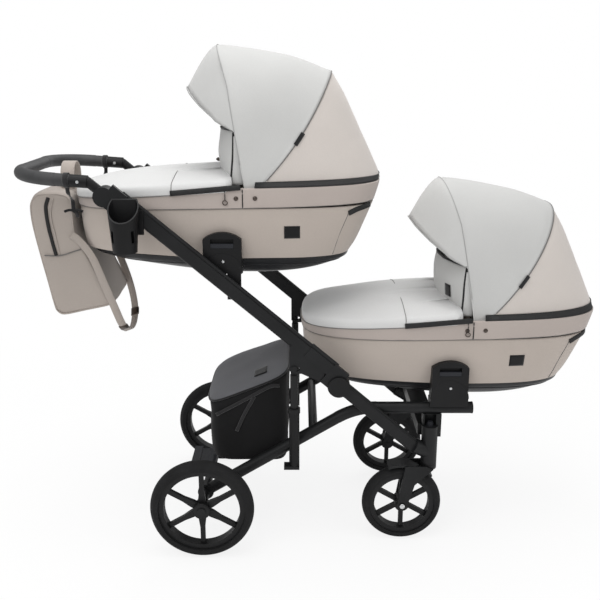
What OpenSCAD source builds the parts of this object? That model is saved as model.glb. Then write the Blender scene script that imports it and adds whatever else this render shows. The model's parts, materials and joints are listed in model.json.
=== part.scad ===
// Twin pram: a two-wheelbase frame that carries two carrycots, one behind and above the other.
// Lengths in millimetres, +Z up, +X to the front, the floor at Z = 0.

/* [Wheels] */
// Radius of a rear wheel
rear_r = 145; // [120:1:180]
// Width of a rear tyre
rear_w = 44; // [30:1:60]
// Radial depth of a rear tyre
rear_tyre_h = 24; // [15:1:35]
// Step out from the push tubes to a rear wheel's middle plane
rear_out = 61; // [50:1:80]
// Position of the rear axle
rear_x = -310; // [-360:1:-260]
// Radius of a front wheel
front_r = 114; // [90:1:130]
// Width of a front tyre
front_w = 38; // [28:1:50]
// Radial depth of a front tyre
front_tyre_h = 20; // [12:1:28]
// Step in from the push tubes to a front wheel's swivel axis
caster_in = 32; // [20:1:40]
// Position of the swivel axis
caster_x = 330; // [300:1:360]
// Distance the front axle trails its swivel axis
trail = 74; // [50:1:85]
// Radial depth of a wheel's rim ring
rim_h = 15; // [10:1:22]
// Width of a wheel's rim ring
rim_w = 30; // [20:1:40]
// Radius of a wheel's axle pin
axle_r = 6; // [4:0.5:9]
// Radius of a wheel's hub
wheel_hub_r = 21; // [15:1:30]
// Length of a wheel's hub
wheel_hub_l = 42; // [30:1:60]
// Width of a rear spoke at the hub
spoke_foot_w = 20; // [14:1:20]
// Width of a rear spoke at the rim
spoke_tip_w = 13; // [8:1:20]
// Width of a front spoke
front_spoke_w = 13; // [8:1:20]
// Thickness of a spoke
spoke_t = 12; // [6:1:20]

/* [Frame] */
// Gap between a cot's rim and the push tubes
side_gap = 11; // [9:0.5:20]
// Step in from the push tubes to the lower tubes
rail_in = 44; // [40:1:50]
// Radius of the lower tubes
rail_r = 17; // [14:0.5:20]
// Height of the front rail's middle line
rail_z = 403; // [380:1:430]
// Front end of the rail
rail_end_x = 446; // [400:1:480]
// Where the rail's bend begins
rail_bend_x = 178; // [140:1:220]
// Radius of the rail's bend
rail_bend_r = 210; // [120:1:260]
// Slope of the lower tube behind the bend, in degrees
rail_slope = 31.3; // [25:0.1:42]
// Position of the fold hub
hub_x = 68.5; // [50:0.5:90]
// Height of the fold hub
hub_z = 488; // [460:1:520]
// Radius of the fold hub
hub_r = 31; // [25:1:40]
// Radius of the fold hub's pin
hub_pin_r = 7; // [5:0.5:10]
// Length of a push tube, hub to handle joint
push_l = 801; // [700:1:900]
// Slope of the push tubes, in degrees
push_slope = 40.4; // [35:0.1:46]
// Height of a push tube's oval
push_h = 44; // [30:1:46]
// Thickness of a push tube's oval
push_t = 24; // [18:1:28]
// How far the push tube lies above the line from its hub to the handle joint
push_lift = 22; // [0:1:30]
// Lower end of a front leg, along X
leg_end_x = 296; // [270:1:310]
// Lower end of a front leg, along Z
leg_end_z = 286; // [260:1:310]
// Step in from the push tubes to a front leg's lower end
leg_end_in = 22; // [15:1:28]
// Radius of the cross tubes
cross_r = 13; // [10:0.5:16]
// Radius of the rear axle beam
beam_r = 12; // [9:0.5:16]

/* [Struts] */
// Position of the struts
strut_x = -53.5; // [-80:0.5:-30]
// Radius of a strut's rod
rod_r = 11; // [8:0.5:14]
// Radius of a strut's sleeve
sleeve_r = 14.5; // [12:0.5:18]
// Height of a strut's upper pin
strut_top_z = 540; // [525:1:550]
// Top of a strut's sleeve
sleeve_top_z = 421; // [400:1:422]
// Bottom of a strut's sleeve
sleeve_low_z = 238; // [225:1:260]
// Length of rod inside the sleeve when the frame is up
rod_hold = 58; // [40:1:80]
// Radius of a strut's upper pin
strut_pin_r = 4; // [3:0.5:6]

/* [Handle] */
// Step in from the push tubes to the handle's arms
arm_in = 15; // [10:1:20]
// Radius of the covered handle bar
grip_r = 17.5; // [14:0.5:20]
// Radius of a handle joint
joint_r = 26; // [20:1:30]
// From a handle joint back to its arm's bend
elbow_back = 42.5; // [35:0.5:60]
// From a handle joint up to its arm's bend
elbow_up = 35.9; // [30:0.1:45]
// From an arm's bend back to the handle bar's middle line
bar_back = 204; // [170:1:230]
// From an arm's bend up to the handle bar's middle line
bar_up = 15; // [5:1:30]
// Radius of the handle bar's rear bends
bar_bend_r = 120; // [80:1:160]
// Radius of a cup holder's mouth
cup_r = 41; // [35:1:48]
// Height of the cup holder
cup_h = 134; // [110:1:150]
// Fall of the cup holder's mouth towards its front
cup_fall = 58; // [30:1:70]

/* [Cots] */
// Length of a cot over its rim
cot_l = 834; // [760:1:900]
// Width of a cot over its rim
cot_w = 418; // [380:1:425]
// Height of a cot, tray bottom to rim
cot_h = 254; // [220:1:280]
// Position of the upper cot's adapters
cot_x = -243.5; // [-260:0.5:-220]
// Height of the upper cot's tray bottom
cot_z = 773; // [750:1:800]
// Step forwards from the upper cot to the lower cot
cot_step_x = 622; // [600:1:640]
// Step down from the upper cot to the lower cot
cot_step_z = 361; // [350:1:375]
// Height of a hood over its pivots
hood_h = 404; // [360:1:420]
// Wall of the hoods' cloth
hood_t = 3; // [2:0.5:5]
// Radius of a hood's pivot pin
hood_pin_r = 5; // [3:0.5:7]

/* [Bag and basket] */
// Width of the bag
bag_w = 230; // [180:1:300]
// Gap between the basket and the lower tubes
basket_gap = 1; // [0.5:0.5:15]
// Length of the basket
basket_l = 232; // [200:1:240]
// Underside of the basket
basket_z = 243; // [230:1:260]

/* [Fits] */
// Radial clearance of a turning or sliding fit
fit = 0.05; // [0.02:0.01:0.1]
// Gap between pieces that move past each other
gap = 0.6; // [0.4:0.1:1]
// Gap between soft pieces and their neighbours
soft_gap = 0.4; // [0.3:0.1:1]
// Wall of the small plastic pieces
wall = 3; // [2:0.5:4]

/* [Hidden] */
$fn = 48;
ring_n = 40;
arch_n = 22;
side_y = cot_w / 2 + side_gap + push_t / 2;
rail_y = side_y - rail_in;
rear_y = side_y + rear_out;
caster_y = side_y - caster_in;
leg_end_y = side_y - leg_end_in;
arm_y = side_y - arm_in;
basket_w = (rail_y - rail_r - basket_gap) * 2;
bracket_rise = push_lift / cos(push_slope);
push_dx = push_l * cos(push_slope);
push_dz = push_l * sin(push_slope);
joint_x = hub_x - push_dx;
joint_z = hub_z + push_dz;
elbow_x = joint_x - elbow_back;
elbow_z = joint_z + elbow_up;
bar_x = elbow_x - bar_back;
bar_z = elbow_z + bar_up;
lug_t = push_t / 2 + wall / 2;
front_x = caster_x - trail;
rail_turn_x = rail_bend_x - rail_bend_r * sin(rail_slope);
rail_turn_z = rail_z - rail_bend_r * (1 - cos(rail_slope));
rail_low_l = (rail_turn_x - rear_x) / cos(rail_slope);
rail_low_z = rail_turn_z - rail_low_l * sin(rail_slope);
leg_dx = leg_end_x - hub_x;
leg_dz = leg_end_z - hub_z;
leg_l = sqrt(leg_dx * leg_dx + leg_dz * leg_dz);
leg_slope = atan2(-leg_dz, leg_dx);
housing_low_z = front_r * 2 + wall * 4;
housing_h = front_r;
housing_r = front_r * 0.2;
stem_r = front_r * 0.09;
guard_r = front_r + wall * 2;
guard_t = wall * 1.6;
guard_w = front_w + wall * 4;
leg_plate_t = wall * 2.2;
fork_y = wheel_hub_l / 2 + leg_plate_t / 2 + gap;
cot_half_w = cot_w / 2;
dome_w = cot_l * 0.122;
dome_top = cot_h * 0.535;
dome_low = cot_h * 0.087;
dome_out_y = cot_half_w + wall * 1.5;
dome_cut_y = dome_out_y - wall * 3.6;
seat_r = dome_w * 0.535;
seat_z = cot_h * 0.106;
seat_gap = gap * 0.7;
adapter_in_y = dome_cut_y + gap;
pivot_x = cot_l * 0.079;
pivot_z = cot_h * 0.854;
hood_w = cot_w * 0.462;
boss_r = hood_pin_r * 3.4;
bow_t = hood_t * 2.6;
rim_slope_tail = 0.069;
rim_slope_head = 0.019;
leg_h = push_h * 0.9;
leg_t = push_t * 0.75;
stem_l = housing_h * 0.5;
knob_l = housing_h * 0.3;
knob_r = stem_r * 0.9;
beam_end = rear_y - wheel_hub_l / 2 - gap;
mid_x = 0;
bend_step = wall * 0.2;
bend_lap = wall * 1.4;
cross_half = caster_y - housing_r * 0.86;
mid_z = rail_turn_z - (rail_turn_x - mid_x) * tan(rail_slope);
eye_r = rod_r * 0.86;
eye_t = rod_r * 1.1;
bracket_t = wall * 1.3;
slot_l = rod_r * 0.95;
foot_y = rail_y + rail_r - bend_step + fit;
arm_tilt = atan2(bar_z - elbow_z, elbow_x - bar_x);
arm_l = (elbow_x - bar_x) / cos(arm_tilt);
seam_l = grip_r * 2.6;
stub_r = joint_r / 2;
button_r = joint_r * 0.42;
rivet_r = joint_r * 0.15;
cup_x = joint_x + push_l * 0.07;
cup_flat = cup_r * 0.63;
cup_hold = wall * 1.3;
cup_y = side_y + push_t / 2 + fit + cup_hold + cup_flat;
cup_z = joint_z - push_l * 0.1705;
adapter_foot_h = rail_r * 1.18;
pedal_w = rail_y * 0.7;
pedal_l = beam_r * 5.2;
fork_end_r = front_r * 0.13;
basket_x = rear_x + basket_l * 0.53;
basket_slope = 0.4;
basket_h = basket_w * 0.59;
loop_shares = [0.3, 0.4];
loop_w = basket_l * 0.09;
basket_top_z = basket_z + basket_h;
bag_h = bag_w * 1.522;
bag_x = bar_x + bag_h * 0.3314;
bag_z = bar_z - bag_h * 0.6659;
hang_x = elbow_x - seam_l * 1.45;
hang_z = elbow_z + (elbow_x - hang_x) * tan(arm_tilt);
clip_w = grip_r * 0.3;
clip_drop = wall + bend_step - gap * 1.33;
loop_strap_w = bag_h * 0.11;
loop_h = bag_h * 0.21;
loop_half = bag_h * 0.11;
strap_y = bag_w / 2 + wall * 1.2;
flap_n = 16;
flap_half = hood_w * 0.9;
visor_n = 24;
dome_arc_r = dome_w * 0.767;
dome_back_shares = [[0.41, 0.087], [0.41, 0.175], [0.4285, 0.243], [0.4505, 0.36], [0.4755, 0.56]];
lever_w = dome_w * 0.59;
lever_z = cot_h * 0.37;
lever_h = cot_h * 0.047;
lever_go = cot_h * 0.047;
bow_w = hood_w - hood_t - soft_gap;

// The tray's levels: height, tail end, head end, half width
tray_out_shares = [
  [0, 0.03, 0.10, 0.15], [0.024, -0.049, 0.204, 0.26], [0.067, -0.19, 0.313, 0.32],
  [0.165, -0.42, 0.40, 0.392], [0.232, -0.468, 0.414, 0.42]];
tray_in_shares = [
  [0.232, -0.458, 0.404, 0.402], [0.165, -0.405, 0.385, 0.37], [0.10, -0.2, 0.32, 0.31]];
tray_tail_slope = -0.044;
// The cloth sides' levels: height, tail end, head end, half width
side_out_shares = [
  [0.2345, -0.474, 0.416, 0.427], [0.36, -0.481, 0.439, 0.449], [0.56, -0.486, 0.465, 0.474],
  [0.78, -0.489, 0.492, 0.491]];
side_in_shares = [
  [0.78, -0.477, 0.48, 0.470], [0.36, -0.469, 0.427, 0.427], [0.2345, -0.462, 0.404, 0.408]];
side_tail_slopes = [-0.044, -0.02, 0.005, 0.017];
// The rim band's levels
rim_out_shares = [
  [0.7825, -0.491, 0.494, 0.494], [0.80, -0.494, 0.498, 0.5], [0.96, -0.494, 0.512, 0.5],
  [0.984, -0.490, 0.509, 0.495]];
rim_in_shares = [
  [0.984, -0.480, 0.497, 0.476], [0.7825, -0.478, 0.481, 0.471]];
rim_tail_slopes = [0.017, 0.018, 0.066, 0.069];
// The apron's levels: share of the outline, height over the rim
apron_shares = [
  [0.975, 0.0018], [1.002, 0.03], [1.0, 0.06], [0.965, 0.085], [0.86, 0.105], [0.62, 0.14],
  [0.3, 0.165], [0.06, 0.17]];
// The collar flap: place of its middle, how far its sides stay behind, lean of its sides, height
flap_mid_share = -0.0168;
flap_bow_share = 0.0468;
flap_back = 0.06;
flap_high_share = 1.56;
// The mattress's levels
pad_shares = [
  [0.1025, -0.19, 0.31, 0.295], [0.17, -0.39, 0.37, 0.355], [0.242, -0.452, 0.398, 0.393],
  [0.36, -0.452, 0.398, 0.393], [0.40, -0.435, 0.383, 0.373]];
pad_tail_slope = -0.04;
// The hood's radius over its pivots, by angle
hood_angles = [99.5, 92, 84, 76, 66, 57];
hood_shares = [1, 0.97, 0.952, 0.946, 0.958, 0.985];
rear_angles = [56.7, 48, 40, 33, 27, 17, 6.8];
rear_shares = [0.98, 0.937, 0.902, 0.886, 0.88, 0.878, 0.886];
hood_power = 2.7;
bow_angles = [98.6, 97.2, 95.8];
bow_share = 0.965;
// The visor's reach in front of the bow, along the arch
visor_shares = [0.004, 0.028, 0.054, 0.078, 0.095, 0.113, 0.13, 0.155, 0.18, 0.204, 0.226, 0.244, 0.254];
// The visor's fall at its free edge, along the arch
visor_drop_shares = [0.01, 0.075, 0.135, 0.185, 0.222, 0.258, 0.286, 0.301, 0.305, 0.303, 0.296, 0.28, 0.27];
visor_turn = 24;

function powsign(c, n) = sign(c) * pow(abs(c), 2 / n);
function outline(z, st, sh, xa, xb, xm, w, nt, nh) = [for (i = [0:ring_n - 1])
  let (a = 360 * i / ring_n, c = cos(a), s = sin(a), n = c < 0 ? nt : nh,
    x = xm + (c < 0 ? xm - xa : xb - xm) * powsign(c, n))
  [x, w * powsign(s, n), z + (x < 0 ? st : sh) * x]];
function level(row, st, sh) = outline(row[0] * cot_h, st, sh, row[1] * cot_l, row[2] * cot_l,
  (row[1] + row[2]) / 2 * cot_l, row[3] * cot_w, 3, 3.4);
function mean(ring) = [for (k = [0:2]) [for (p = ring) 1] * [for (p = ring) p[k]] / len(ring)];
function walls(m, k) = [for (j = [0:m - 1], i = [0:k - 1], h = [0, 1])
  let (a = j * k + i, b = j * k + (i + 1) % k) h == 0 ? [a, a + k, b] : [b, a + k, b + k]];
function walls_round(m, k) = [for (j = [0:m - 1], i = [0:k - 1], h = [0, 1])
  let (a = j * k + i, b = j * k + (i + 1) % k, c = (a + k) % (m * k), d = (b + k) % (m * k))
  h == 0 ? [a, c, b] : [b, c, d]];

// A closed solid through rings of points, first to last
module loft(rings) {
  k = len(rings[0]);
  m = len(rings);
  pts = [for (r = rings) each r];
  top = (m - 1) * k;
  polyhedron(points = concat(pts, [mean(rings[0]), mean(rings[m - 1])]),
    faces = concat(walls(m - 1, k), [for (i = [0:k - 1]) [m * k, i, (i + 1) % k]],
      [for (i = [0:k - 1]) [m * k + 1, top + (i + 1) % k, top + i]]));
}

// A closed band through rings of points, the last joined to the first
module band(rings) {
  polyhedron(points = [for (r = rings) each r], faces = walls_round(len(rings), len(rings[0])));
}

// A closed sheet through arches of points, each an outer row and an inner row back
module sheet(rings) {
  k = len(rings[0]);
  m = len(rings);
  q = k / 2 - 1;
  top = (m - 1) * k;
  polyhedron(points = [for (r = rings) each r],
    faces = concat(walls(m - 1, k),
      [for (i = [0:q - 1], h = [0, 1]) h == 0 ? [i, i + 1, k - 2 - i] : [i, k - 2 - i, k - 1 - i]],
      [for (i = [0:q - 1], h = [0, 1])
        h == 0 ? [top + k - 2 - i, top + i + 1, top + i] : [top + k - 1 - i, top + k - 2 - i, top + i]]));
}

function arch_point(a, r, w, t) = let (d = r * pow(sin(t), 2 / hood_power))
  [pivot_x + d * cos(a), w * powsign(cos(t), hood_power), pivot_z + d * sin(a)];
function arch(a, r, w, wall_t, t0, n) = concat(
  [for (i = [0:n]) arch_point(a, r, w, t0 + (180 - 2 * t0) * i / n)],
  [for (i = [n:-1:0]) arch_point(a, r - wall_t, w - wall_t, t0 + (180 - 2 * t0) * i / n)]);

// A flat oval bar along +X, its length from a to b
module oval_bar(a, b, h, t) {
  translate([a, t / 2, 0]) rotate([90, 0, 0]) linear_extrude(t) {
    translate([0, -(h - t) / 2]) square([b - a, h - t]);
    translate([0, -h / 2 + t / 3]) square([b - a, h - t * 2 / 3]);
  }
  for (s = [-1, 1]) translate([a, 0, s * (h / 2 - t / 3)]) rotate([0, 90, 0]) cylinder(h = b - a, r = t / 3);
}

// A round bar between two points
module bar(p, q, r) {
  d = q - p;
  l = norm(d);
  translate(p) rotate([0, acos(d[2] / l), atan2(d[1], d[0])]) cylinder(h = l, r = r);
}

// A round bar along Y from y = a to y = b
module cross_bar(x, z, a, b, r) {
  translate([x, a, z]) rotate([-90, 0, 0]) cylinder(h = b - a, r = r);
}

// A plate drawn in X and Z, from y = a to y = b
module plate_y(a, b) {
  translate([0, b, 0]) rotate([90, 0, 0]) linear_extrude(b - a) children();
}

// The same piece on the right side or on the left side
module side(s) {
  if (s < 0) mirror([0, 1, 0]) children(); else children();
}

// A wheel's tyre, spinning about Y
module tyre(r, w, h) {
  rotate([90, 0, 0]) rotate_extrude($fn = 72) intersection() {
    translate([r - w * 0.6, 0]) circle(r = w * 0.6);
    translate([r - h, -w / 2]) square([h, w]);
  }
}

// A wheel's rim, hub and six spokes, spinning about Y
module rim(r, foot_w, tip_w) {
  inner = r - rim_h;
  difference() {
    union() {
      rotate([90, 0, 0]) difference() {
        translate([0, 0, -rim_w / 2]) cylinder(h = rim_w, r = r, $fn = 72);
        translate([0, 0, -rim_w]) cylinder(h = rim_w * 2, r = inner, $fn = 72);
      }
      cross_bar(0, 0, -wheel_hub_l / 2, wheel_hub_l / 2, wheel_hub_r);
      for (i = [0:5]) rotate([0, i * 60 + 30, 0]) plate_y(-spoke_t / 2, spoke_t / 2)
        polygon([[0, -foot_w / 2], [wheel_hub_r * 1.5, -foot_w / 2], [inner * 0.55, -tip_w / 2],
          [inner + wall, -tip_w / 2], [inner + wall, tip_w / 2], [inner * 0.55, tip_w / 2],
          [wheel_hub_r * 1.5, foot_w / 2], [0, foot_w / 2]]);
    }
    cross_bar(0, 0, -wheel_hub_l, wheel_hub_l, axle_r + fit);
  }
}

// Frame pieces. Each is drawn on the left side and mirrored to the right side.

module lower_tube(s) {
  color("#26272a") side(s) difference() {
    union() {
      bar([rear_x, rail_y, rail_low_z], [rail_turn_x + bend_lap * cos(rail_slope), rail_y,
        rail_turn_z + bend_lap * sin(rail_slope)], rail_r - bend_step);
      translate([rail_bend_x, rail_y, rail_z - rail_bend_r]) rotate([90, 0, 0]) rotate([0, 0, 90])
        rotate_extrude(angle = rail_slope) translate([rail_bend_r, 0]) circle(r = rail_r);
      bar([rail_bend_x - bend_lap, rail_y, rail_z], [rail_end_x, rail_y, rail_z], rail_r - bend_step);
      cross_bar(rear_x, rear_r, rail_y - rail_r, rail_y + rail_r, rail_r + wall * 2);
    }
    cross_bar(rear_x, rear_r, rail_y - rail_r * 2, rail_y + rail_r * 2, beam_r + fit);
    translate([rail_end_x - rail_r * 3, rail_y, rail_z]) rotate([0, 90, 0])
      cylinder(h = rail_r * 4, r = rail_r - wall);
  }
}

// An end plug for each rail, pushed into the tube, and a cap over each fold hub
module end_caps() {
  color("#17181a") for (s = [-1, 1]) side(s) hub_cap();
  color("#1c1d1f") for (s = [-1, 1]) side(s) translate([rail_end_x, rail_y, rail_z]) rotate([0, 90, 0]) {
    cylinder(h = wall, r = rail_r);
    translate([0, 0, -rail_r]) cylinder(h = rail_r + fit, r = rail_r - wall - fit);
  }
}

module front_leg(s) {
  leg_y = side_y - gap / 2 - leg_t / 2;
  turn = atan2(leg_y - leg_end_y, leg_dx);
  color("#26272a") side(s) difference() {
    union() {
      cross_bar(hub_x, hub_z, side_y - gap / 2 - lug_t, side_y - gap / 2, hub_r);
      translate([hub_x, leg_y, hub_z]) rotate([0, 0, -turn]) rotate([0, leg_slope, 0])
        oval_bar(0, leg_l, leg_h, leg_t);
      bar([leg_end_x - leg_h * 0.3, leg_end_y, leg_end_z + leg_h * 0.28],
        [caster_x - wall, caster_y, housing_low_z + housing_h * 0.3], leg_h * 0.55);
      translate([caster_x, caster_y, housing_low_z]) cylinder(h = housing_h, r = housing_r);
      cross_bar(hub_x, hub_z, side_y - lug_t, side_y + lug_t + gap, hub_pin_r);
      cross_bar(hub_x, hub_z, side_y + lug_t + gap, side_y + lug_t + gap + wall, hub_pin_r * 2);
    }
    translate([caster_x, caster_y, housing_low_z - wall]) cylinder(h = stem_l + wall * 2, r = stem_r + fit);
    translate([caster_x, caster_y, housing_low_z + housing_h - knob_l])
      cylinder(h = knob_l * 2, r = knob_r + fit);
    translate([caster_x - housing_r * 2, caster_y - housing_r * 2, housing_low_z - housing_h])
      cube([housing_r * 4, housing_r * 4, housing_h]);
  }
}

module rear_axle() {
  end = rear_y + wheel_hub_l / 2 + gap;
  color("#2b2c2f") {
    cross_bar(rear_x, rear_r, -beam_end, beam_end, beam_r);
    cross_bar(rear_x, rear_r, -end - wall, end + wall, axle_r);
    for (s = [-1, 1]) side(s) cross_bar(rear_x, rear_r, end, end + wall, wheel_hub_r * 0.55);
  }
}

module front_cross() {
  color("#2b2c2f") difference() {
    union() {
      translate([caster_x - cross_r * 2.4, -cross_half, housing_low_z + housing_h * 0.66])
        cube([cross_r * 4.2, cross_half * 2, cross_r * 2.6]);
      for (s = [-1, 1]) side(s)
        translate([caster_x - cross_r * 1.6, rail_y - rail_r * 0.9, housing_low_z + housing_h * 0.7])
        cube([cross_r * 4, rail_r * 1.8, rail_z - rail_r - housing_low_z - housing_h * 0.7 + wall]);
    }
    for (s = [-1, 1]) side(s) {
      translate([caster_x, caster_y, housing_low_z]) cylinder(h = housing_h + gap, r = housing_r + fit);
      translate([caster_x, caster_y, housing_low_z + housing_h]) cylinder(h = knob_l, r = knob_r * 1.8);
      bar([rail_bend_x, rail_y, rail_z], [rail_end_x, rail_y, rail_z], rail_r + fit);
    }
  }
}

// The tube across the frame between the lower tubes, and the casting between the front legs
module cross_members() {
  front_cross();
  color("#2b2c2f") difference() {
    cross_bar(mid_x, mid_z, -rail_y, rail_y, cross_r);
    for (s = [-1, 1]) side(s)
      bar([rear_x, rail_y, rail_low_z], [rail_turn_x, rail_y, rail_turn_z], rail_r + fit);
  }
}

module strut_sleeve(s) {
  color("#1f2022") side(s) difference() {
    union() {
      translate([strut_x, side_y, sleeve_low_z]) cylinder(h = sleeve_top_z - sleeve_low_z, r = sleeve_r);
      translate([strut_x, side_y, sleeve_top_z - sleeve_r]) cylinder(h = sleeve_r, r = sleeve_r + wall * 0.7);
      translate([strut_x - sleeve_r, foot_y, sleeve_low_z])
        cube([sleeve_r * 2, side_y - foot_y, sleeve_r * 5]);
      translate([strut_x - sleeve_r * 2, side_y - sleeve_r, sleeve_low_z])
        cube([sleeve_r * 3, sleeve_r * 2, sleeve_r * 0.7]);
    }
    translate([strut_x, side_y, sleeve_low_z + sleeve_r * 1.4]) cylinder(h = sleeve_top_z, r = rod_r + fit);
  }
}

module strut_rod(s) {
  low = sleeve_top_z - rod_hold;
  color("#2b2c2f") side(s) {
    union() {
      translate([strut_x, side_y, low]) cylinder(h = strut_top_z - eye_r * 2.2 - low, r = rod_r);
      cross_bar(strut_x, strut_top_z, side_y - eye_t / 2, side_y + eye_t / 2, eye_r);
      translate([strut_x - eye_r, side_y - eye_t / 2, strut_top_z - eye_r * 2.4])
        cube([eye_r * 2, eye_t, eye_r * 2.4]);
    }
  }
  color("#b9bbbe") side(s) {
    cross_bar(strut_x, strut_top_z, side_y - eye_t, side_y + push_t / 2 + wall, strut_pin_r);
    cross_bar(strut_x, strut_top_z, side_y + push_t / 2 + gap, side_y + push_t / 2 + wall, strut_pin_r * 2);
  }
}

module push_tube(s) {
  color("#232427") side(s) {
    difference() {
      union() {
        translate([hub_x, side_y, hub_z]) rotate([0, push_slope, 0]) {
          translate([0, 0, push_lift]) {
            oval_bar(-push_l + joint_r * 1.2, -hub_r * 1.25, push_h, push_t);
            oval_bar(-hub_r * 4.2, -hub_r * 1.25, push_h + wall * 2, push_t + wall);
          }
        }
        cross_bar(hub_x, hub_z, side_y + gap / 2, side_y + gap / 2 + lug_t, hub_r);
        cross_bar(joint_x, joint_z, side_y + gap / 2, side_y + gap / 2 + lug_t, joint_r);
        translate([hub_x, 0, hub_z]) rotate([0, push_slope, 0]) {
          translate([-hub_r * 1.6, side_y + gap / 2, -hub_r * 0.7])
            cube([hub_r * 1.6, lug_t, hub_r * 1.4 + push_lift]);
          translate([-push_l, side_y + gap / 2, -joint_r * 0.75])
            cube([joint_r * 1.8, lug_t, joint_r * 1.5 + push_lift]);
        }
        cross_bar(joint_x, joint_z, arm_y, side_y + lug_t, hub_pin_r);
        for (h = [-1, 1]) strut_bracket(side_y + h * (eye_t / 2 + gap + bracket_t / 2));
      }
      cross_bar(hub_x, hub_z, side_y - lug_t, side_y + lug_t * 2, hub_pin_r + fit);
      for (p = [0, 0.5, 1]) cross_bar(strut_x + slot_l * p, strut_top_z - slot_l * 0.22 * p,
        side_y - push_t, side_y + push_t, strut_pin_r * 1.6);
      plate_y(side_y - push_t, side_y + push_t) translate([strut_x, strut_top_z]) rotate(-atan(0.22))
        translate([0, -strut_pin_r * 1.6]) square([slot_l, strut_pin_r * 3.2]);
    }
  }
}

// A plate under the push tube that holds the strut's pin in a slot
module strut_bracket(y) {
  plate_y(y - bracket_t / 2, y + bracket_t / 2) translate([strut_x, strut_top_z]) polygon(
    [[-eye_r * 1.3, -eye_r * 0.8], [eye_r * 0.2, -eye_r * 1.5], [eye_r * 2.2, -eye_r * 1.6],
    [eye_r * 8.2, -eye_r * 4.4], [eye_r * 8.9, bracket_rise - eye_r * 3.5],
    [eye_r * 1.2, bracket_rise + eye_r * 4], [-eye_r * 1.3, bracket_rise + eye_r * 4]]);
}

module hub_cap() {
  y = side_y + lug_t + gap + wall;
  difference() {
    cross_bar(hub_x, hub_z, side_y + gap / 2 + lug_t + soft_gap, y + wall, hub_r * 0.94);
    cross_bar(hub_x, hub_z, side_y, y + soft_gap, hub_pin_r * 2 + soft_gap);
  }
}

module handle_end(s) {
  color("#1b1c20") side(s) difference() {
    union() {
      cross_bar(joint_x, joint_z, arm_y - stub_r, side_y - gap / 2, joint_r);
      bar([joint_x, arm_y, joint_z], [elbow_x, arm_y, elbow_z], stub_r);
      translate([elbow_x, arm_y, elbow_z]) sphere(r = stub_r);
      translate([elbow_x, arm_y, elbow_z]) rotate([0, arm_tilt, 0]) rotate([0, -90, 0])
        cylinder(h = seam_l, r = grip_r - wall / 3);
    }
    cross_bar(joint_x, joint_z, arm_y - wall / 3, side_y, hub_pin_r + fit);
    cross_bar(joint_x, joint_z, arm_y - stub_r * 2, arm_y - wall, button_r + fit);
    translate([elbow_x, arm_y, elbow_z]) rotate([0, arm_tilt, 0])
      cross_bar(-seam_l / 2, 0, -grip_r * 2, grip_r * 2, rivet_r + fit);
  }
}

module handle_bar() {
  straight = arm_l - bar_bend_r;
  color("#303134") translate([elbow_x, 0, elbow_z]) rotate([0, arm_tilt, 0]) {
    for (s = [-1, 1]) side(s) {
      translate([-seam_l - soft_gap, arm_y, 0]) rotate([0, -90, 0])
        cylinder(h = straight - seam_l - soft_gap + bend_lap, r = grip_r - bend_step);
      translate([-straight, arm_y - bar_bend_r, 0]) rotate([0, 0, 90]) rotate_extrude(angle = 90)
        translate([bar_bend_r, 0]) circle(r = grip_r);
    }
    cross_bar(-arm_l, 0, -(arm_y - bar_bend_r) - bend_lap, arm_y - bar_bend_r + bend_lap, grip_r - bend_step);
  }
}

module handle_rivets() {
  color("#c4c6c8") for (s = [-1, 1]) side(s) translate([elbow_x, arm_y, elbow_z]) rotate([0, arm_tilt, 0])
    cross_bar(-seam_l / 2, 0, -grip_r - wall / 3, grip_r + wall / 3, rivet_r);
}

module handle_button(s) {
  color("#3a3c44") side(s)
    cross_bar(joint_x, joint_z, arm_y - stub_r - wall * 1.5, arm_y - wall * 2.6, button_r);
}

module cup_holder() {
  color("#191a1c") translate([cup_x, -cup_y, cup_z]) difference() {
    union() {
      intersection() {
        cylinder(h = cup_h, r1 = cup_r * 0.76, r2 = cup_r);
        translate([-cup_r * 2, -cup_r * 2, 0]) cube([cup_r * 4, cup_r * 2 + cup_flat, cup_h]);
      }
      translate([-cup_r * 0.5, cup_flat - wall, cup_h * 0.3])
        cube([cup_r * 1.6, cup_hold + wall, cup_h * 0.47]);
    }
    intersection() {
      translate([0, 0, wall]) cylinder(h = cup_h, r1 = cup_r * 0.76 - wall, r2 = cup_r - wall);
      translate([-cup_r * 2, -cup_r * 2, 0]) cube([cup_r * 4, cup_r * 2 + cup_flat - wall, cup_h * 2]);
    }
    for (x = [-1, 1]) translate([x * cup_r * 0.62 - wall, -cup_r * 2, cup_h * 0.2])
      cube([wall * 2, cup_r * 2, cup_h * 0.24]);
    translate([-cup_r * 2, -cup_r, cup_h - cup_fall]) rotate([atan(cup_fall / (cup_r + cup_flat)), 0, 0])
      translate([0, -cup_r, 0]) cube([cup_r * 4, cup_r * 4, cup_h]);
  }
}

// A half-round adapter plate with its foot; low is the foot's underside, y_a and y_b its two sides,
// x_a and x_b its two ends
module adapter(low, y_a, y_b, x_a, x_b) {
  plate_y(adapter_in_y, dome_out_y - gap) intersection() {
    translate([0, seat_z]) circle(r = seat_r - seat_gap, $fn = 72);
    translate([-dome_w, seat_z]) square([dome_w * 2, dome_w]);
  }
  plate_y(adapter_in_y, dome_out_y - gap) translate([x_a, low]) square([x_b - x_a, seat_z + wall - low]);
  plate_y(y_a, y_b) translate([x_a, low]) square([x_b - x_a, adapter_foot_h]);
}

module upper_adapters() {
  color("#222326") for (s = [-1, 1]) side(s) translate([cot_x, 0, cot_z]) adapter(-adapter_foot_h * 2.2,
    adapter_in_y, side_y - push_t / 2 - fit, dome_w * 0.12, dome_w * 0.48);
}

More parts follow.
